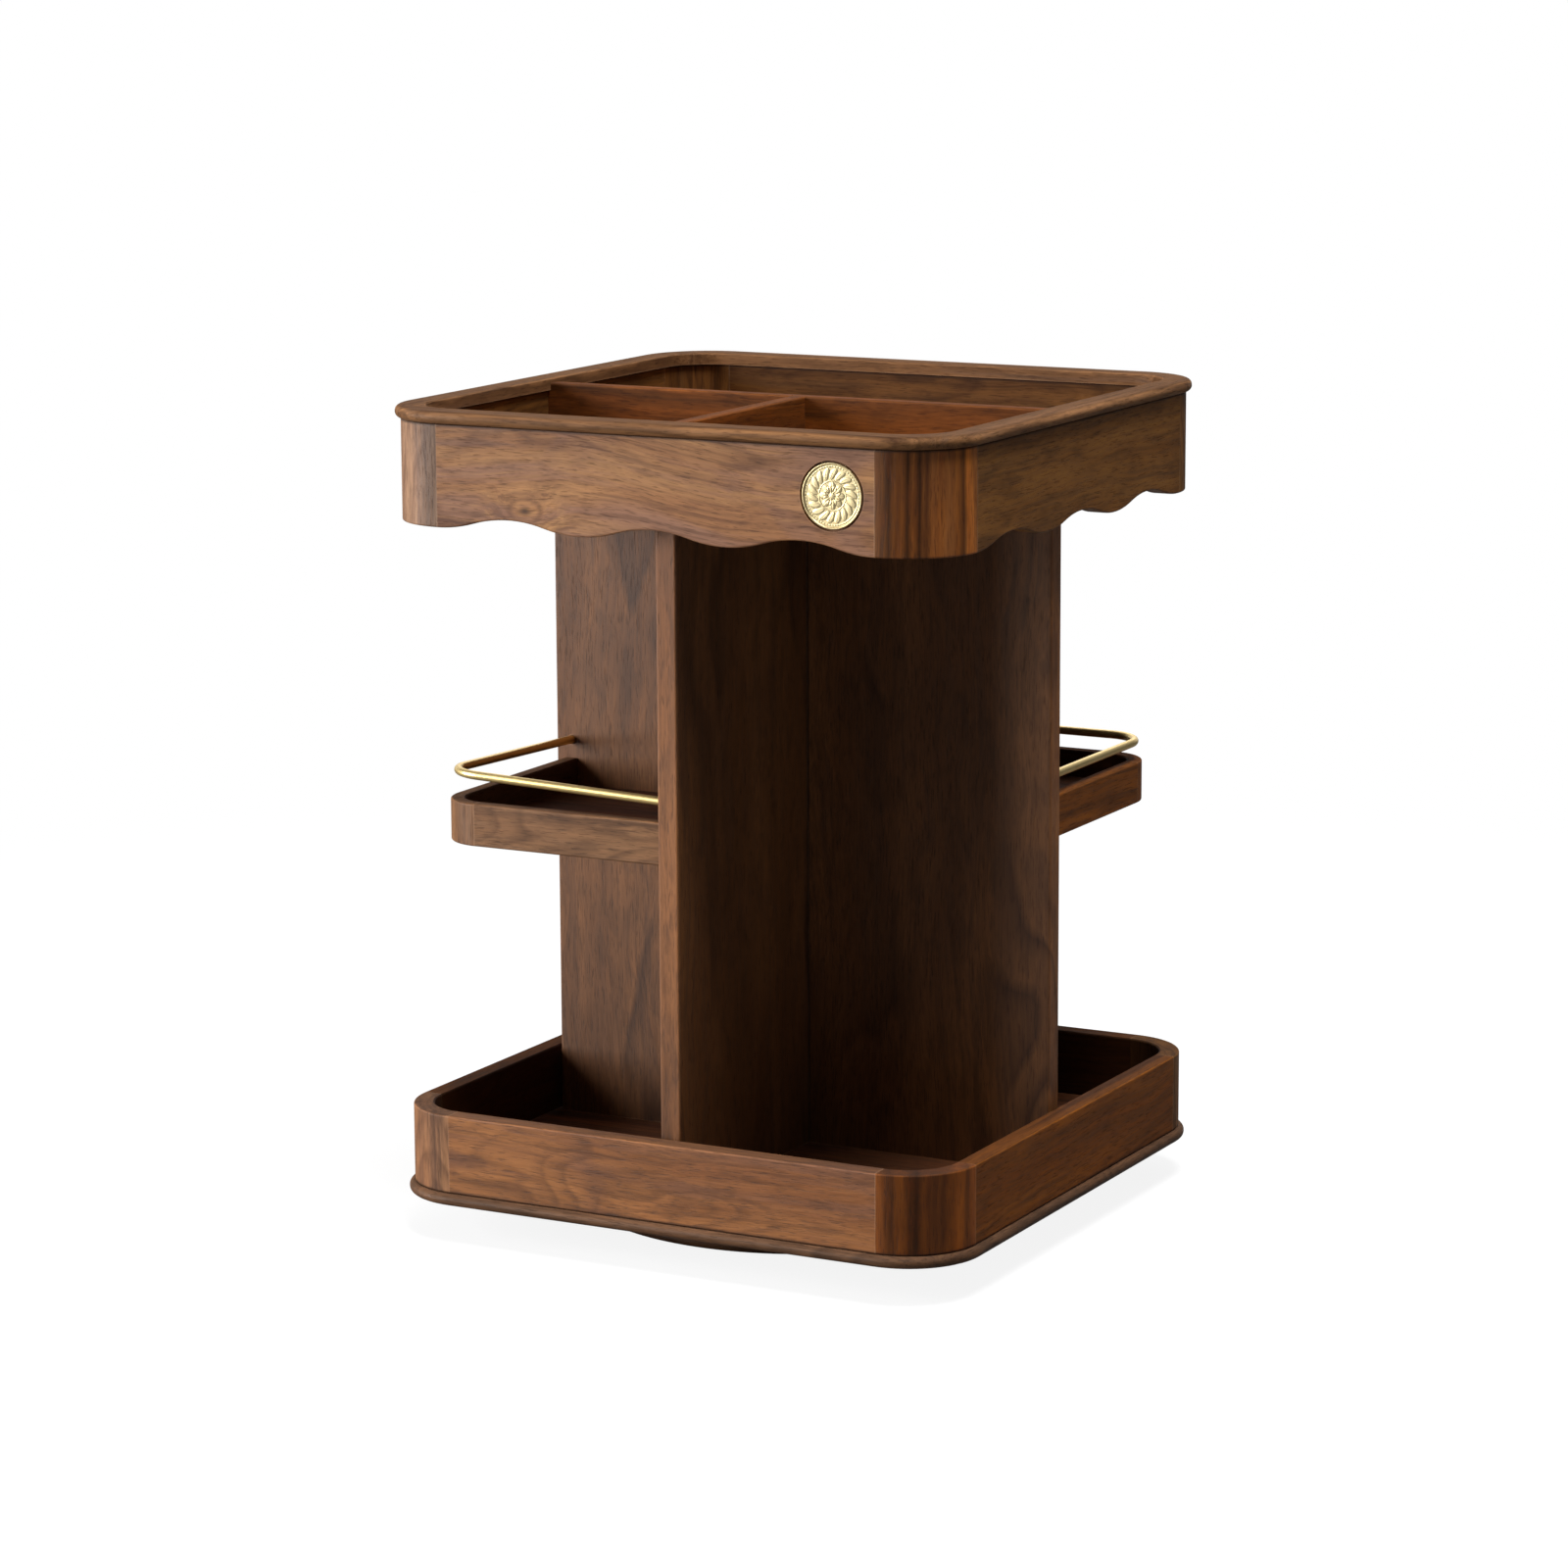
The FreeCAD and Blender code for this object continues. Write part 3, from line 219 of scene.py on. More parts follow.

# Light and middle wood, cool streaks, dark streaks and rings
# Besides the boards' own colour, the front and pale tones carry painted light and sheen, being lighter and
# greyer, and the side and floor tones carry painted shade, being darker
TONES = {
    "front": (srgb(182, 132, 84), srgb(156, 106, 66), srgb(146, 104, 80), srgb(90, 54, 34)),
    "base_front": (srgb(162, 104, 56), srgb(138, 84, 44), srgb(128, 82, 54), srgb(74, 42, 22)),
    "side": (srgb(151, 101, 50), srgb(130, 83, 39), srgb(113, 76, 42), srgb(71, 42, 19)),
    "base_side": (srgb(147, 83, 22), srgb(128, 69, 15), srgb(110, 62, 19), srgb(69, 35, 9)),
    "base_pale": (srgb(156, 110, 74), srgb(134, 90, 58), srgb(126, 88, 62), srgb(82, 52, 34)),
    "panel": (srgb(129, 83, 46), srgb(111, 69, 36), srgb(103, 66, 39), srgb(62, 36, 18)),
    "shelf": (srgb(154, 110, 73), srgb(133, 91, 59), srgb(129, 95, 68), srgb(76, 48, 29)),
    "inside": (srgb(138, 77, 30), srgb(114, 61, 24), srgb(100, 59, 28), srgb(56, 31, 12)),
    "top": (srgb(160, 114, 76), srgb(134, 94, 60), srgb(124, 92, 68), srgb(74, 48, 30)),
    "plate": (srgb(112, 78, 53), srgb(94, 64, 42), srgb(88, 64, 47), srgb(55, 36, 22)),
    "foot": (srgb(88, 58, 36), srgb(74, 47, 28), srgb(70, 47, 32), srgb(44, 27, 16)),
    "shelf_floor": (srgb(92, 50, 24), srgb(76, 40, 19), srgb(70, 41, 23), srgb(42, 22, 10)),
    "floor": (srgb(116, 66, 33), srgb(94, 52, 25), srgb(88, 53, 30), srgb(50, 27, 13)),
    "pale": (srgb(162, 126, 98), srgb(138, 102, 76), srgb(130, 98, 78), srgb(88, 60, 44)),
    "stripes": (srgb(212, 132, 60), srgb(194, 113, 46), srgb(168, 104, 54), srgb(114, 60, 25)),
    "base_stripes_and_painted_light": (srgb(206, 114, 34), srgb(188, 99, 27), srgb(160, 88, 31), srgb(108, 52, 15)),
}

# What a board can set: lengths in millimetres, strengths as shares of 1
WALNUT = {
    "tone": "side",
    # middle of the tree across the fibres, how the board slants from it, and the width of a ring
    "heart": (60.0, 30.0),
    "tilt": 0.0,
    "pitch": 5.0,
    # how strong rings, dark streaks, cloudy patches, contour lines and thin lines are
    "rings": 0.6,
    "streaks": 0.75,
    "clouds": 0.4,
    "flow": 0.6,
    "fine": 0.4,
    # how far the fibres wander, how dense contour lines are, and where the fibres dip, by how much
    "wander": 12.0,
    "waves": 15.0,
    "sweep": None,
    # place along, place across and size of a knot, and a corner block's banding of wood figure with painted
    # light and shade
    "knot": None,
    "stripes": None,
    # shine, rubbed edges lightened with a painted highlight, painted shade on inner and on upper faces, the
    # axis of ends painted lighter
    "gloss": 0.25,
    "wear": 0.4,
    "shaded": 0.0,
    "topped": 0.0,
    "edging": None,
    "edge_light": 1.5,
    # levels of dark joints with a painted shadow line, the faces of a board that crosses, with a glue line
    # and painted corner shade there, and painted shade towards the tray floor
    "seams": (),
    "joint": None,
    "foot_shade": 0.0,
}

# Millimetres: how far a seed moves a board along its fibres, the width of the rubbed and highlighted edges,
# the bump's depth, how near and far a dark joint with its painted shadow reaches, and between which levels
# the painted shade on the panels fades
SEED_STEP = 137.0
ARRIS_WIDTH = 0.8
BUMP_DEPTH = 0.045
SEAM_NEAR = 0.25
SEAM_FAR = 1.5
JOINT_NEAR = 0.3
JOINT_FAR = 1.4
FOOT_SHADE_LOW = 25.0
FOOT_SHADE_HIGH = 130.0

KNOT_STRETCH = 1.5
PORE_DARKNESS = 0.42
# The camera's heading, so the corner blocks' painted light and shade runs across the view
STRIPE_HEADING = math.radians(27.8)


def along_grain(g, grain, x, y, z):
    """The place along the fibres, then the two across them."""
    if grain == "ring":
        turned = g.spread(x.absolute() - y.absolute(), -0.4, 0.4)
        return x + (y - x) * turned, y + (x - y) * turned, z
    return {"X": (x, y, z), "Y": (y, z, x), "Z": (z, x, y)}[grain]


def knot_figure(g, board, u, v, w):
    """How far a knot turns the fibres aside, its dark core and the ring round it."""
    length, height, size = board.knot
    off_along = (u - length) / KNOT_STRETCH
    off_across = (w if board.grain == "X" else v) - height
    far = (off_along * off_along + off_across * off_across) ** 0.5
    swirl = g.spread(far, 0.0, size * 3.2, 1.0, 0.0) * size * 1.1
    core = g.spread(far, 0.0, size * 0.55, 0.85, 0.0)
    halo = g.spread((far - size * 0.95).absolute(), 0.0, size * 0.3, 0.4, 0.0)
    return swirl, core, halo


def wood_figure(g, board, x, y, z):
    """The fields that the wood is made of. Their scales are waves per millimetre, far fewer along
    the fibres (u) than across them."""
    seed = board.seed
    u, v, w = along_grain(g, board.grain, x, y, z)
    figure = SimpleNamespace()
    if board.knot is not None:
        swirl, figure.core, figure.halo = knot_figure(g, board, u, v, w)
    if board.sweep is not None:
        start, end, drop = board.sweep
        w = w + g.spread(u, start, end, 0.0, drop)
    u = u + seed * SEED_STEP
    figure.slow = g.noise(g.vector(u * 0.0065, v * 0.017 + seed, w * 0.017)) - 0.5
    slow_across = g.noise(g.vector(u * 0.0065, v * 0.017 + 31.0 + seed, w * 0.017)) - 0.5
    figure.quick = g.noise(g.vector(u * 0.024, v * 0.05, w * 0.05 + seed)) - 0.5
    across = v + figure.slow * board.wander + figure.quick * 4.5
    through = w + slow_across * board.wander + figure.quick * 3.0
    if board.knot is not None:
        across = across + swirl
        through = through + swirl

    from_heart = across - board.heart[0]
    from_heart_through = through - board.heart[1] + u * board.tilt
    distance = (from_heart * from_heart + from_heart_through * from_heart_through) ** 0.5
    uneven = g.noise(g.vector(distance * 0.045, seed * 3.1, 0.0), detail=1.0)
    ring = (distance / board.pitch + uneven * 5.0).fraction()
    figure.ring = g.ramp(ring, [(0.0, 0.0), (0.35, 0.12), (0.72, 0.55), (0.88, 1.0), (1.0, 0.0)])
    strength = g.noise(g.vector(distance * 0.12, seed, u * 0.003))
    figure.ring_strength = g.spread(strength, 0.3, 0.72, 0.15, 1.0)

    hill = g.noise(g.vector(u * 0.0085, across * 0.030 + seed, through * 0.030), detail=1.0, distortion=0.3)
    contour = (hill * board.waves).fraction()
    figure.contour = g.ramp(contour, [(0.0, 0.0), (0.4, 0.25), (0.8, 1.0), (0.93, 0.35), (1.0, 0.0)])
    patch = g.noise(g.vector(u * 0.006, across * 0.022, through * 0.022 + seed))
    figure.patch = g.spread(patch, 0.42, 0.62)

    figure.broad = g.noise(g.vector(u * 0.0036, across * 0.034, through * 0.034), detail=2.0)
    figure.streak = g.noise(
        g.vector(u * 0.0034, across * 0.14, through * 0.14 + seed), detail=5.0, roughness=0.6
    )
    figure.cloud = g.noise(
        g.vector(u * 0.013, across * 0.034 + seed, through * 0.034), detail=2.0, distortion=0.8
    )
    figure.fibre = g.noise(g.vector(u * 0.05, across * 1.0, through * 1.0), detail=3.0, roughness=0.7)
    figure.line = g.noise(
        g.vector(u * 0.008, across * 0.60, through * 0.60 + seed), detail=3.0, roughness=0.6
    )
    pore = g.noise(g.vector(u * 0.16, v * 2.3 + figure.quick * 6.0, w * 2.3), detail=1.0)
    figure.pore = g.spread(pore, 0.58, 0.68)
    figure.mottle = g.noise(
        g.vector(u * 0.07, across * 0.22, through * 0.22 + seed), detail=3.0, roughness=0.6
    )
    return figure


def wood_colour(g, board, figure, x, y):
    """The wood's colour before shade and wear, built up from broad bands to pores."""
    light, middle, cool, deep = TONES[board.tone]
    colour = g.mix(g.spread(figure.broad, 0.40, 0.60), light, middle)
    colour = g.mix(g.spread(figure.streak, 0.50, 0.66, 0.0, 0.9), colour, cool)
    colour = g.mix(g.spread(figure.streak, 0.46, 0.32, 0.0, board.streaks), colour, deep)
    colour = g.mix(g.spread(figure.cloud, 0.50, 0.64, 0.0, board.clouds), colour, cool)
    colour = g.mix(g.spread(figure.cloud, 0.62, 0.74, 0.0, board.clouds * 0.5), colour, deep)
    colour = g.mix(figure.contour * figure.patch * board.flow, colour, deep)
    colour = g.mix(g.spread(figure.line, 0.48, 0.30, 0.0, board.fine), colour, deep)
    colour = g.mix(g.spread(figure.line, 0.54, 0.72, 0.0, board.fine), colour, light)
    colour = g.mix(figure.ring * figure.ring_strength * board.rings, colour, deep)
    # A corner block's banding: wood figure with painted light and shade
    if board.stripes is not None:
        (low, high), stops = board.stripes
        along = x * math.cos(STRIPE_HEADING) + y * math.sin(STRIPE_HEADING)
        along = along + figure.slow * 1.4 + figure.quick * 0.7
        colour = g.mix(1.0, g.ramp((along - low) / (high - low), stops), colour, "MULTIPLY")
    if board.knot is not None:
        colour = g.mix(figure.halo, colour, deep)
        colour = g.mix(figure.core, colour, DARK)
    shade = g.spread(figure.fibre, 0.25, 0.75, 0.82, 1.16)
    shade_colour = g.node("ShaderNodeCombineColor", {0: shade, 1: shade, 2: shade})
    colour = g.mix(1.0, colour, Field(g, shade_colour.outputs[0]), "MULTIPLY")
    colour = g.mix(g.spread(figure.mottle, 0.5, 0.32, 0.0, 0.3), colour, deep)
    return g.mix(figure.pore * PORE_DARKNESS, colour, DARK)


def wood_faces(g, board, colour, x, y, z):
    """Painted shade on inner and upper faces, ends painted lighter, dark joints with painted shadow lines,
    painted shade towards the floor, and rubbed edges lightened with a painted highlight.
    """
    # Painted shade on faces that look towards the object's middle
    if board.shaded > 0.0:
        colour = g.mix(g.facing_middle() * board.shaded, colour, PAINTED_SHADE)
    # Painted shade on upward faces
    if board.topped > 0.0:
        colour = g.mix(g.spread(g.facing("Z"), 0.6, 0.95, 0.0, board.topped), colour, DARK)
    # Painted light: the faces at the ends along this axis are made lighter
    if board.edging is not None:
        painted_light_tint = (board.edge_light, board.edge_light * 0.97, board.edge_light * 0.94, 1.0)
        painted_light_ends_mask = g.spread(g.facing(board.edging).absolute(), 0.6, 0.95)
        colour = g.mix(painted_light_ends_mask, colour, painted_light_tint, "MULTIPLY")
    # Dark joint lines, which also paint the shadow under the rim and above the plate
    for level in board.seams:
        near = g.spread((z - level).absolute(), SEAM_NEAR, SEAM_FAR, 0.85, 0.0)
        colour = g.mix(near, colour, DARK)
    # A dark glue line with painted shade in the inner corner where the panels cross
    if board.joint is not None:
        axis, faces = board.joint
        place = x if axis == "X" else y
        for face in faces:
            near = g.spread((place - face).absolute(), JOINT_NEAR, JOINT_FAR, 0.75, 0.0)
            colour = g.mix(near, colour, DARK)
    # Painted shade, darker towards the floor
    if board.foot_shade > 0.0:
        shade = g.spread(z, FOOT_SHADE_LOW, FOOT_SHADE_HIGH, board.foot_shade, 0.0)
        colour = g.mix(shade, colour, PAINTED_SHADE)
    # Rubbed edges made lighter, which also paints their highlight
    uneven = g.noise(g.vector(x * 0.11, y * 0.11, z * 0.11))
    wear_and_highlight_mask = g.arris(ARRIS_WIDTH) * g.spread(uneven, 0.3, 0.6, board.wear * 0.25, board.wear)
    # No painted highlight on the edges of faces in painted shade
    if board.shaded > 0.5:
        wear_and_highlight_mask = wear_and_highlight_mask * g.spread(g.facing_middle(), 0.0, 0.6, 1.0, 0.0)
    return g.mix(wear_and_highlight_mask, colour, WEAR_AND_HIGHLIGHT_COLOUR)


def walnut(name, **settings):
    """Oiled walnut. The fibres run along the axis named by grain, or round a frame mitred at its
    corners where that is ring."""
    board = SimpleNamespace(**{**WALNUT, **settings})
    g = new_material(name)
    x, y, z = g.place()
    figure = wood_figure(g, board, x, y, z)
    colour = wood_colour(g, board, figure, x, y)
    colour = wood_faces(g, board, colour, x, y, z)
    matt_top = g.spread(g.facing("Z"), 0.1, 0.85, 0.0, 0.4)
    rough = g.spread(figure.fibre, 0.3, 0.7, 0.42, 0.54) + figure.pore * 0.15 + matt_top
    height = figure.fibre * 0.35 - figure.pore * 0.65 - figure.ring * 0.1
    return g.finish(colour, rough, height, BUMP_DEPTH, Specular_IOR_Level=board.gloss)


FLOOR_BOARD = dict(grain="X", tilt=0.1, pitch=8.0, rings=0.4)
DIVIDER = dict(tone="inside", topped=0.4, wear=0.08, gloss=0.12)
PANEL = dict(
    grain="Z", tone="panel", pitch=9.0, rings=0.25, streaks=0.2, flow=0.8, waves=6.0, fine=0.15, gloss=0.4,
    foot_shade=0.3,
)
BOARDS = {
    "skirt_front": dict(
        grain="X", seed=1.0, tone="front", heart=(-40.0, 300.0), tilt=0.10, pitch=8.0, flow=0.85, waves=12.0,
        rings=0.35, streaks=0.6, clouds=0.9, fine=0.5, wander=18.0, sweep=(-40.0, 60.0, 11.0),
        knot=(-56.0, 299.5, 5.0),
    ),
    "skirt_back": dict(grain="X", seed=2.3, heart=(80.0, 300.0), tilt=-0.04, pitch=6.0),
    "skirt_left": dict(grain="Y", seed=3.1, heart=(330.0, -60.0), tilt=0.05, pitch=6.0),
    "skirt_right": dict(
        grain="Y", seed=4.7, heart=(300.0, 60.0), tilt=0.06, pitch=6.0, rings=0.35, streaks=0.4, clouds=0.3,
        fine=0.3,
    ),
    "base_wall_front": dict(
        grain="X", seed=5.2, tone="base_front", heart=(-60.0, 10.0), tilt=0.16, pitch=8.0, flow=0.4,
        rings=0.3, streaks=0.4, clouds=0.9, gloss=0.38,
    ),
    "base_wall_back": dict(grain="X", seed=6.4, tone="base_side", heart=(80.0, 60.0), tilt=0.06, pitch=6.0),
    "base_wall_left": dict(grain="Y", seed=7.6, tone="base_side", heart=(20.0, -70.0), tilt=0.06, pitch=6.0),
    "base_wall_right": dict(grain="Y", seed=8.8, tone="base_side", heart=(60.0, 80.0), tilt=0.04, pitch=6.0),
    "divider_long": dict(DIVIDER, grain="X", seed=9.1, heart=(30.0, 360.0)),
    "divider_short": dict(DIVIDER, grain="Y", seed=10.3, heart=(360.0, 30.0)),
    "panel_across": dict(
        PANEL, seed=11.9, heart=(40.0, 45.0), tilt=0.12, wander=26.0, edging="X", edge_light=1.6
    ),
    "panel_deep": dict(PANEL, seed=12.6, heart=(60.0, 20.0), tilt=0.10, wander=22.0, edging="Y"),
    "base_floor": dict(FLOOR_BOARD, seed=13.2, tone="floor", heart=(20.0, 80.0)),
    "tray_floor": dict(FLOOR_BOARD, seed=14.5, tone="panel", heart=(-20.0, 360.0)),
    "base_plate": dict(grain="ring", seed=15.7, tone="plate", heart=(20.0, 60.0), tilt=0.08, pitch=7.0),
    "top_rim": dict(
        grain="ring", seed=16.6, tone="top", heart=(20.0, 380.0), tilt=0.03, clouds=0.2, gloss=0.1,
        topped=0.5,
    ),
    "foot_disc": dict(grain="X", seed=17.4, tone="foot", heart=(20.0, 60.0), tilt=0.08, pitch=7.0),
    "shelf_left_floor": dict(grain="X", seed=18.8, tone="shelf_floor", heart=(-60.0, 200.0), pitch=7.0),
    "shelf_left_front_lip": dict(grain="X", seed=19.3, tone="shelf", heart=(-60.0, 180.0)),
    "shelf_left_side_lip": dict(grain="Y", seed=20.7, tone="shelf", heart=(180.0, -60.0)),
    "shelf_left_corner": dict(grain="Z", seed=21.2, tone="shelf", heart=(-60.0, -60.0)),
    "shelf_right_floor": dict(grain="X", seed=22.9, tone="shelf_floor", heart=(60.0, 200.0), pitch=7.0),
    "shelf_right_back_lip": dict(grain="X", seed=23.5, tone="base_side", heart=(60.0, 180.0)),
    "shelf_right_side_lip": dict(grain="Y", seed=24.1, tone="base_side", heart=(180.0, 60.0)),
    "shelf_right_corner": dict(grain="Z", seed=25.8, tone="base_side", heart=(60.0, 60.0)),
}
for number, corner in enumerate(("front_left", "front_right", "back_left", "back_right")):
    side = -60.0 if "left" in corner else 60.0
    depth = -60.0 if "front" in corner else 60.0
    BOARDS["skirt_corner_" + corner] = dict(
        grain="Z", seed=30.0 + 1.3 * number, heart=(side, depth), pitch=4.0, rings=0.8
    )
    BOARDS["base_corner_" + corner] = dict(
        grain="Z", seed=40.0 + 1.7 * number, heart=(side * 1.2, depth), pitch=4.5, rings=0.8
    )

# Banding of the two front corner blocks: wood figure with painted light and shade across the turn of each
# block.
# A block's span lies along the stripe heading, and each stripe is a place in that span and a brightness.
RIGHT_BLOCK = (26.6, 65.8)
LEFT_BLOCK = (-161.0, -145.0)
RIGHT_SKIRT_STRIPES_AND_LIGHT = [
    (0.0, 0.26), (0.09, 0.24), (0.14, 0.11), (0.18, 0.28), (0.26, 0.42), (0.32, 0.10), (0.37, 0.52),
    (0.435, 0.10), (0.47, 0.5), (0.5, 0.3), (0.55, 0.72), (0.73, 0.86), (0.82, 0.72), (0.865, 0.25),
    (0.9, 1.25), (0.97, 1.15), (1.0, 0.4),
]
RIGHT_BASE_STRIPES_AND_LIGHT = [
    (0.0, 0.42), (0.09, 0.22), (0.14, 0.14), (0.22, 0.30), (0.3, 0.28), (0.36, 0.16), (0.41, 0.08),
    (0.47, 0.26), (0.58, 0.28), (0.75, 0.36), (0.81, 0.62), (0.89, 0.42), (0.915, 0.28), (0.96, 0.56),
    (1.0, 0.62),
]
LEFT_SKIRT_STRIPES_AND_LIGHT = [(0.0, 1.0), (0.3, 1.3), (0.52, 1.35), (0.7, 1.05), (0.84, 0.66), (1.0, 0.66)]
LEFT_BASE_STRIPES_AND_LIGHT = [
    (0.0, 1.3), (0.35, 1.4), (0.6, 1.3), (0.74, 0.9), (0.82, 1.2), (0.9, 0.85), (1.0, 1.15)
]
BOARDS["skirt_corner_front_left"].update(tone="pale", stripes=(LEFT_BLOCK, LEFT_SKIRT_STRIPES_AND_LIGHT))
BOARDS["base_corner_front_left"].update(tone="base_pale", stripes=(LEFT_BLOCK, LEFT_BASE_STRIPES_AND_LIGHT))
BOARDS["skirt_corner_front_right"].update(
    tone="stripes", rings=0.15, streaks=0.3, stripes=(RIGHT_BLOCK, RIGHT_SKIRT_STRIPES_AND_LIGHT)
)
BOARDS["base_corner_front_right"].update(
    tone="base_stripes_and_painted_light", rings=0.15, streaks=0.3, stripes=(RIGHT_BLOCK, RIGHT_BASE_STRIPES_AND_LIGHT)
)

plate_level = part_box("base_wall_front")[0].z / MM
rim_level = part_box("skirt_front")[1].z / MM
deep_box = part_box("panel_deep")
across_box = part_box("panel_across")
BOARDS["panel_across"]["joint"] = ("X", (deep_box[0].x / MM, deep_box[1].x / MM))
BOARDS["panel_deep"]["joint"] = ("Y", (across_box[0].y / MM, across_box[1].y / MM))
# Base walls, base corners and shelves get painted shade inside and on top. Skirts get painted shade inside.
# Dark joints carry a painted shadow line above the plate and under the rim
for board_name, board_settings in BOARDS.items():
    if board_name.startswith(("base_wall", "base_corner")):
        board_settings.update(seams=(plate_level,), shaded=0.85, topped=0.6, wear=0.3)
    if board_name.startswith("shelf") and "floor" not in board_name:
        board_settings.update(shaded=0.8, topped=0.35)
    if board_name.startswith("skirt"):
        board_settings.update(seams=(rim_level,), shaded=0.3)
    if board_settings.get("tone", "side") in ("side", "base_side"):
        board_settings["gloss"] = 0.14
    dress(board_name, walnut("walnut_" + board_name, **board_settings))


# Metals, plastic, rubber and the dowels' beech

def metal(name, colour, shadow, roughness):
    g = new_material(name)
    x, y, z = g.place()
    cloud = g.noise(g.vector(x * 0.06, y * 0.06, z * 0.06), detail=3.0)
    scratch = g.noise(g.vector(x * 0.9, y * 0.9, z * 9.0), detail=3.0, roughness=0.7)
    tint = g.mix(g.spread(cloud, 0.35, 0.7, 0.0, 0.15), colour, shadow)
    rough = g.spread(scratch, 0.3, 0.7, roughness * 0.8, roughness * 1.25)
    return g.finish(tint, rough, scratch, depth=0.0015, Metallic=1.0)


def pebbled(name, colour, pale, roughness, grain):
    g = new_material(name)
    x, y, z = g.place()
    speck = g.noise(g.vector(x * grain, y * grain, z * grain), detail=4.0, roughness=0.6)
    dust = g.noise(g.vector(x * 0.15, y * 0.15, z * 0.15), detail=3.0)
    tint = g.mix(g.spread(dust, 0.45, 0.75, 0.0, 0.35), colour, pale)
    rough = g.spread(speck, 0.3, 0.7, roughness - 0.08, roughness + 0.08)
    return g.finish(tint, rough, speck, depth=0.03)


def beech(name):
    g = new_material(name)
    x, y, z = g.place()
    fibre = g.noise(g.vector(x * 1.4, y * 1.4, z * 1.4), detail=4.0)
    tint = g.mix(g.spread(fibre, 0.3, 0.7), srgb(206, 172, 128), srgb(176, 138, 96))
    return g.finish(tint, g.spread(fibre, 0.3, 0.7, 0.5, 0.65), fibre, depth=0.03)


brass = metal("brass_satin", srgb(238, 210, 144), srgb(206, 172, 104), 0.40)
pale_brass = metal("brass_pale", srgb(222, 204, 158), srgb(198, 170, 118), 0.46)
zinc = metal("steel_zinc", srgb(190, 192, 196), srgb(150, 150, 148), 0.32)
screw_steel = metal("steel_screw", srgb(168, 168, 170), srgb(120, 118, 114), 0.30)
ball_steel = metal("steel_ball", srgb(206, 208, 212), srgb(176, 176, 178), 0.12)
cage_plastic = pebbled("plastic_cage", srgb(196, 190, 176), srgb(224, 220, 210), 0.5, 2.0)
pad_rubber = pebbled("rubber_pad", srgb(38, 38, 40), srgb(78, 76, 74), 0.75, 4.0)
dowel_wood = beech("beech_dowel")

for node_name, node_material in {
    "rail_left": brass,
    "rail_right": brass,
    "bearing_outer_ring": zinc,
    "bearing_inner_ring": zinc,
    "inner_ring_screws": screw_steel,
    "outer_ring_screws": screw_steel,
    "panel_screws": screw_steel,
    "bearing_balls": ball_steel,
    "ball_cage": cage_plastic,
    "foot_pads": pad_rubber,
    "panel_dowels": dowel_wood,
    "shelf_left_dowels": dowel_wood,
    "shelf_right_dowels": dowel_wood,
}.items():
    dress(node_name, node_material)


# The medallion: a rosette inside a wreath, in low relief. Radii and heights are in millimetres.

MEDALLION_RADIUS = 12.8
MEDALLION_MARGIN = 0.02
FIELD_DEPTH = 0.95
RELIEF_RINGS = 96
RELIEF_ROUNDS = 360
FULL_TURN = 2.0 * math.pi


def ridge(value, centre, width):
    """A rounded ridge of height 1 around centre."""
    distance = abs(value - centre) / width
    if distance >= 1.0:
        return 0.0
    return math.sqrt(1.0 - distance * distance)


def petals(radius, angle, count, inner, outer, turn):
    """A ring of pointed petals with a vein down each."""
    if not inner < radius < outer:
        return 0.0
    sector = FULL_TURN / count
    offset = (angle - turn) % sector - sector / 2.0
    place = (radius - inner) / (outer - inner)
    half = sector * 0.5 * math.sin(math.pi * min(1.0, place * 0.94 + 0.06)) ** 0.6
    if half <= 0.0 or abs(offset) >= half:
        return 0.0
    across = offset / half
    vein = 0.18 * math.exp(-((offset * radius) / 0.14) ** 2)
    return math.sqrt(1.0 - across * across) * (0.55 + 0.45 * math.sin(math.pi * place)) - vein


def relief(radius, angle):
    """Height over the medallion's field: border, beading, wreath, ring, rosette and boss."""
    leaf_turn = 0.055 * (radius - 7.6)
    height = 0.7 * ridge(radius, 12.35, 0.45)
    height += 0.14 * ridge(radius, 11.2, 0.25) * (0.6 + 0.4 * math.cos(angle * 60.0))
    height += 0.26 * petals(radius, angle + leaf_turn, 18, 6.2, 10.6, 0.0)
    height += 0.14 * ridge(radius, 5.7, 0.22)
    height += 0.30 * petals(radius, angle, 8, 1.7, 5.25, math.pi / 8.0)
    height += 0.22 * petals(radius, angle, 8, 0.9, 3.9, 0.0)
    height += 0.35 * ridge(radius, 0.0, 1.25)
    return height


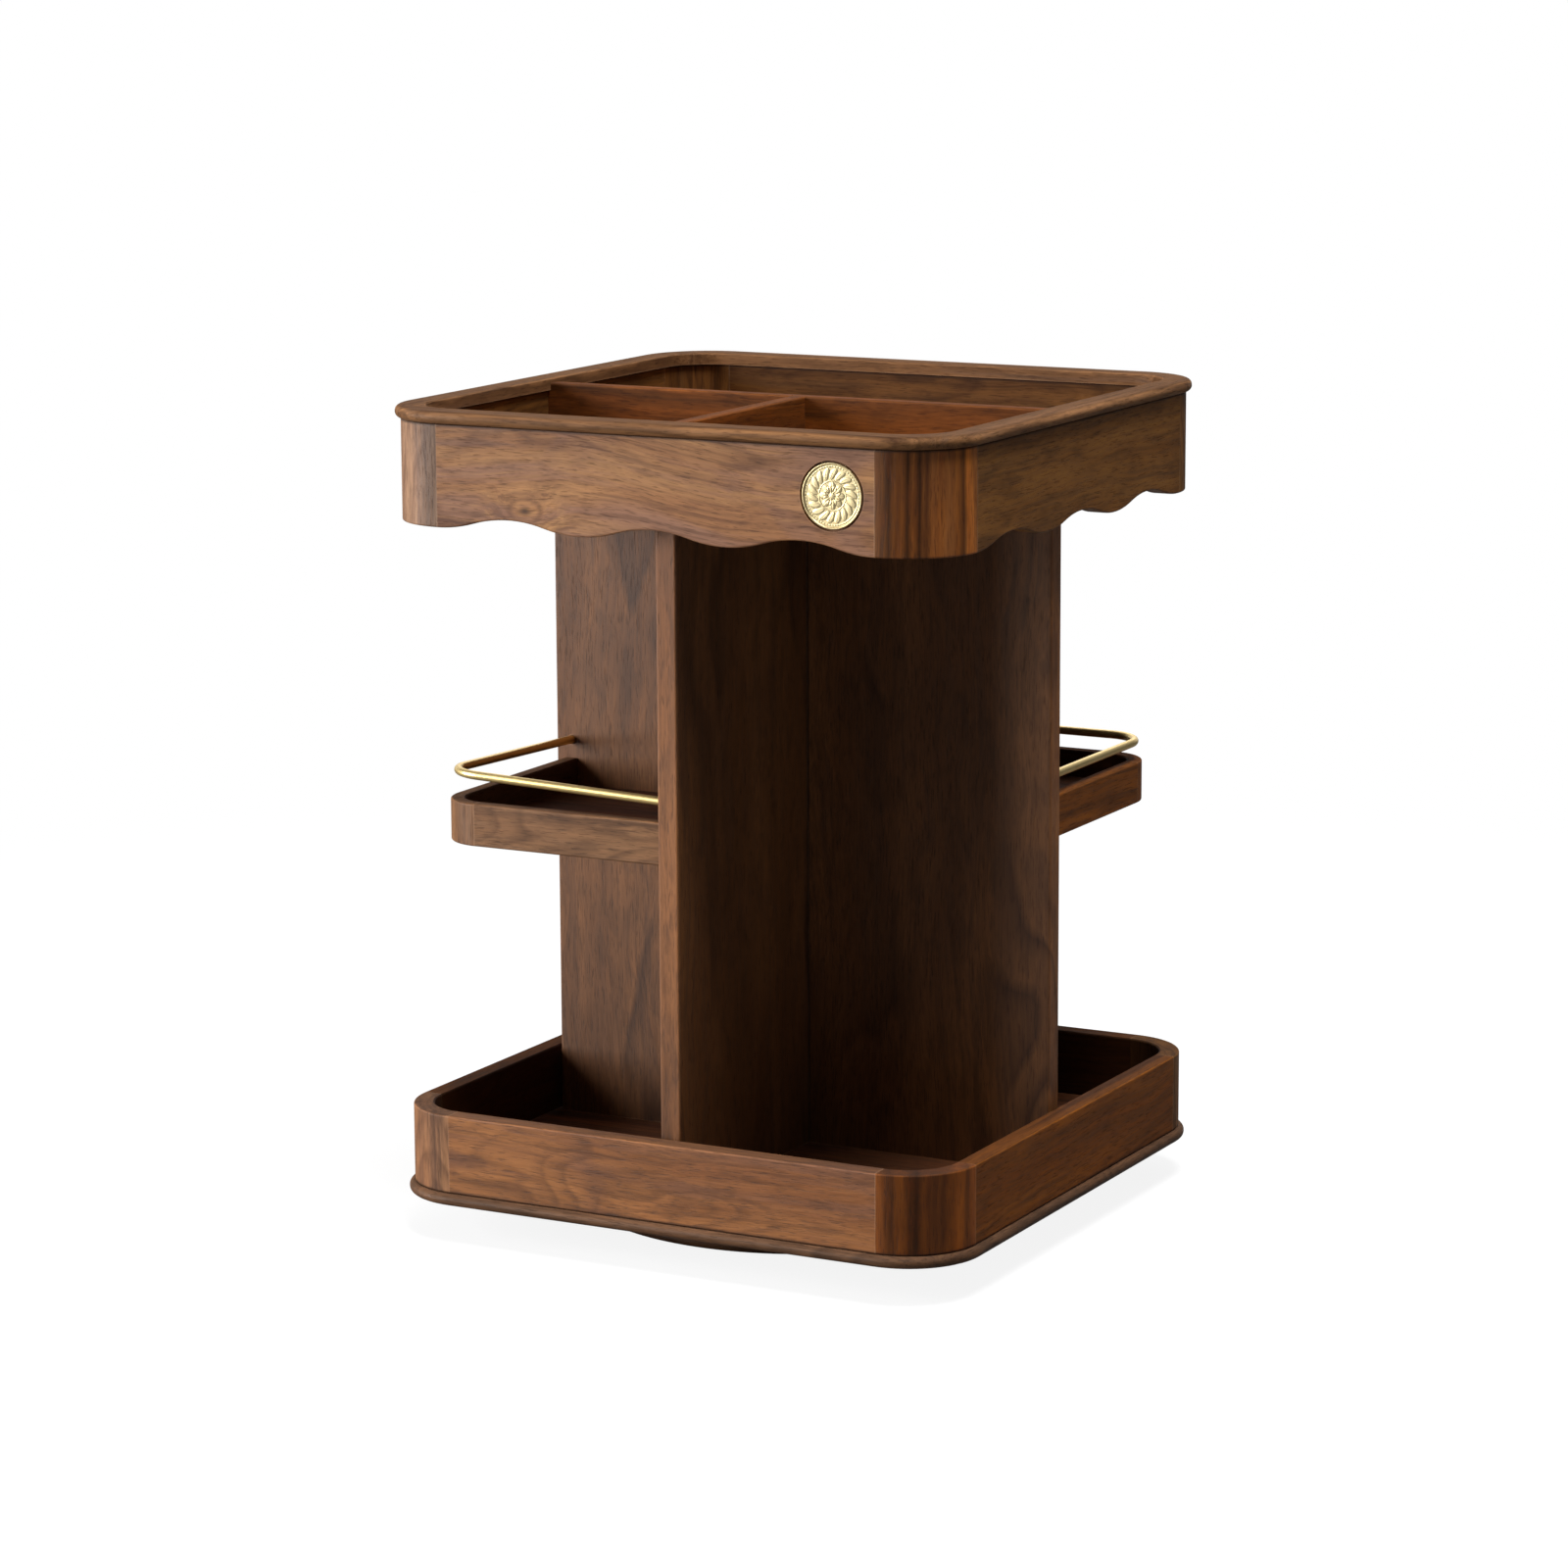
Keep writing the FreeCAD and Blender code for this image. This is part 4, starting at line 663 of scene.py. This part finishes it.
def make_medallion():
    low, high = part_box("medallion")
    centre = (low + high) / 2.0
    field = low.y + FIELD_DEPTH * MM
    scale = ((high.x - low.x) / 2.0 - MEDALLION_MARGIN * MM) / MEDALLION_RADIUS
    mesh = bmesh.new()
    middle = mesh.verts.new((centre.x, field - relief(0.0, 0.0) * MM, centre.z))
    rings = []
    for number in range(1, RELIEF_RINGS + 1):
        radius = MEDALLION_RADIUS * (number / RELIEF_RINGS) ** 0.9
        ring = []
        for i in range(RELIEF_ROUNDS):
            angle = FULL_TURN * i / RELIEF_ROUNDS
            x = centre.x + radius * scale * math.cos(angle)
            z = centre.z + radius * scale * math.sin(angle)
            ring.append(mesh.verts.new((x, field - relief(radius, angle) * MM, z)))
        rings.append(ring)
    rings.append([mesh.verts.new((vert.co.x, high.y, vert.co.z)) for vert in rings[-1]])
    for i in range(RELIEF_ROUNDS):
        j = (i + 1) % RELIEF_ROUNDS
        mesh.faces.new((middle, rings[0][i], rings[0][j]))
        for inner, outer in zip(rings, rings[1:]):
            mesh.faces.new((inner[i], outer[i], outer[j], inner[j]))
    mesh.faces.new(list(reversed(rings[-1])))
    bmesh.ops.recalc_face_normals(mesh, faces=mesh.faces)
    data = bpy.data.meshes.new("medallion_relief")
    mesh.to_mesh(data)
    mesh.free()
    for face in data.polygons:
        face.use_smooth = len(face.vertices) < 5
    data.materials.append(pale_brass)
    piece = bpy.data.objects.new("medallion_relief", data)
    scene.collection.objects.link(piece)
    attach(piece, "organizer")
    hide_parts("medallion")


make_medallion()


# Floor, light and camera

# Half the floor's width in metres, its grey and the glow the camera sees on it. It turns white between
# the other two reaches, which are millimetres from the middle.
FLOOR_REACH = 40.0
FLOOR_COLOUR = (0.15, 0.15, 0.15, 1.0)
FLOOR_GLOW = 0.88
SHADOW_REACH = 380.0
WHITE_REACH = 900.0

# Brightness of the dome low down and overhead, and the level direction in which the camera looks
DOME_LOW = 0.012
DOME_HIGH = 0.30
BEHIND_X = -0.466
BEHIND_Y = 0.885

# What the lamps shine on, in metres
OBJECT_MIDDLE = Vector((0.0, 0.0, 0.17))

# The photograph's camera, fitted to the object's edges: metres, but millimetres for lens and sensor
CAMERA_AZIMUTH = math.radians(27.8116)
CAMERA_ELEVATION = math.radians(10.8847)
CAMERA_ROLL = math.radians(-0.27277)
CAMERA_TARGET = Vector((-0.006785, -0.003579, 0.174933))
CAMERA_DISTANCE = 2.02014
CAMERA_LENS = 113.145
CAMERA_SENSOR = 36.0


def blend_shaders(g, factor, first, second, output_kind):
    """Ends a graph in first where factor is 0 and in second where it is 1."""
    blend = g.node("ShaderNodeMixShader", {0: factor})
    g.tree.links.new(first.outputs[0], blend.inputs[1])
    g.tree.links.new(second.outputs[0], blend.inputs[2])
    output = g.node(output_kind, {})
    g.tree.links.new(blend.outputs[0], output.inputs["Surface"])


def make_floor():
    """A pale floor that keeps the object's shadow and turns white further out, as the camera sees it."""
    g = new_material("studio_floor")
    x, y, z = g.place()
    far = g.spread((x * x + y * y) ** 0.5, SHADOW_REACH, WHITE_REACH)
    seen = Field(g, g.node("ShaderNodeLightPath", {}).outputs["Is Camera Ray"])
    matt = g.node("ShaderNodeBsdfDiffuse", {"Color": FLOOR_COLOUR})
    glow = g.node("ShaderNodeEmission", {"Color": WHITE, "Strength": seen * FLOOR_GLOW})
    near_shader = g.node("ShaderNodeAddShader", {})
    g.tree.links.new(matt.outputs[0], near_shader.inputs[0])
    g.tree.links.new(glow.outputs[0], near_shader.inputs[1])
    white = g.node("ShaderNodeEmission", {"Color": WHITE, "Strength": 1.0})
    blend_shaders(g, far * seen, near_shader, white, "ShaderNodeOutputMaterial")
    data = bpy.data.meshes.new("floor")
    corners = [(-1, -1), (1, -1), (1, 1), (-1, 1)]
    data.from_pydata([(a * FLOOR_REACH, b * FLOOR_REACH, 0.0) for a, b in corners], [], [(0, 1, 2, 3)])
    data.materials.append(g.owner)
    floor = bpy.data.objects.new("floor", data)
    scene.collection.objects.link(floor)


def make_world():
    """A soft dome. The camera sees plain white instead, and so do glossy faces that mirror the side
    behind the object."""
    scene.world = bpy.data.worlds.new("studio")
    g = Graph(scene.world)
    x, y, z = g.coordinate("Generated")
    behind = g.spread(y * BEHIND_Y + x * BEHIND_X, 0.55, 0.85)
    path = g.node("ShaderNodeLightPath", {})
    glossy = Field(g, path.outputs["Is Glossy Ray"])
    mirrored = g.math("MAXIMUM", glossy, Field(g, path.outputs["Is Transmission Ray"]))
    seen = g.math("MAXIMUM", Field(g, path.outputs["Is Camera Ray"]), mirrored * behind)
    dome = g.spread(z, 0.4, 0.97, DOME_LOW, DOME_HIGH)
    soft = g.node("ShaderNodeBackground", {"Color": WHITE, "Strength": dome})
    white = g.node("ShaderNodeBackground", {"Color": WHITE, "Strength": 1.0})
    blend_shaders(g, seen, soft, white, "ShaderNodeOutputWorld")


def softbox(name, azimuth, elevation, distance, size, level):
    """A square lamp that shines on the object's middle; level 1 lights white to white."""
    turn = math.radians(azimuth)
    rise = math.radians(elevation)
    towards = Vector((math.sin(turn) * math.cos(rise), -math.cos(turn) * math.cos(rise), math.sin(rise)))
    lamp = bpy.data.lights.new(name, "AREA")
    lamp.shape = "SQUARE"
    lamp.size = size
    lamp.energy = level * (math.pi * distance) ** 2
    holder = bpy.data.objects.new(name, lamp)
    holder.location = OBJECT_MIDDLE + towards * distance
    holder.rotation_euler = towards.to_track_quat("Z", "Y").to_euler()
    scene.collection.objects.link(holder)


def make_camera():
    """The photograph's camera: where it stands, where it looks and how far it leans."""
    back = Vector((
        math.sin(CAMERA_AZIMUTH) * math.cos(CAMERA_ELEVATION),
        -math.cos(CAMERA_AZIMUTH) * math.cos(CAMERA_ELEVATION),
        math.sin(CAMERA_ELEVATION),
    ))
    level_right = Vector((math.cos(CAMERA_AZIMUTH), math.sin(CAMERA_AZIMUTH), 0.0))
    level_up = back.cross(level_right)
    right = level_right * math.cos(CAMERA_ROLL) + level_up * math.sin(CAMERA_ROLL)
    up = level_up * math.cos(CAMERA_ROLL) - level_right * math.sin(CAMERA_ROLL)
    camera = bpy.data.cameras.new("camera")
    camera.sensor_width = CAMERA_SENSOR
    camera.lens = CAMERA_LENS
    camera.clip_start = 0.05
    camera.clip_end = 200.0
    holder = bpy.data.objects.new("camera", camera)
    turned = Matrix((right, up, back)).transposed().to_4x4()
    holder.matrix_world = Matrix.Translation(CAMERA_TARGET + back * CAMERA_DISTANCE) @ turned
    scene.collection.objects.link(holder)
    scene.camera = holder


make_floor()
make_world()

# Degrees round and up, metres away, metres wide, and level
softbox("key", -52.0, 12.0, 2.2, 1.3, 1.35)
softbox("top_right", 58.0, 75.0, 2.4, 0.8, 1.15)
softbox("low_right", 62.0, 8.0, 2.4, 1.4, 0.05)
softbox("rear_fill", 200.0, 40.0, 2.6, 1.6, 0.15)
make_camera()
scene.view_settings.view_transform = "Standard"
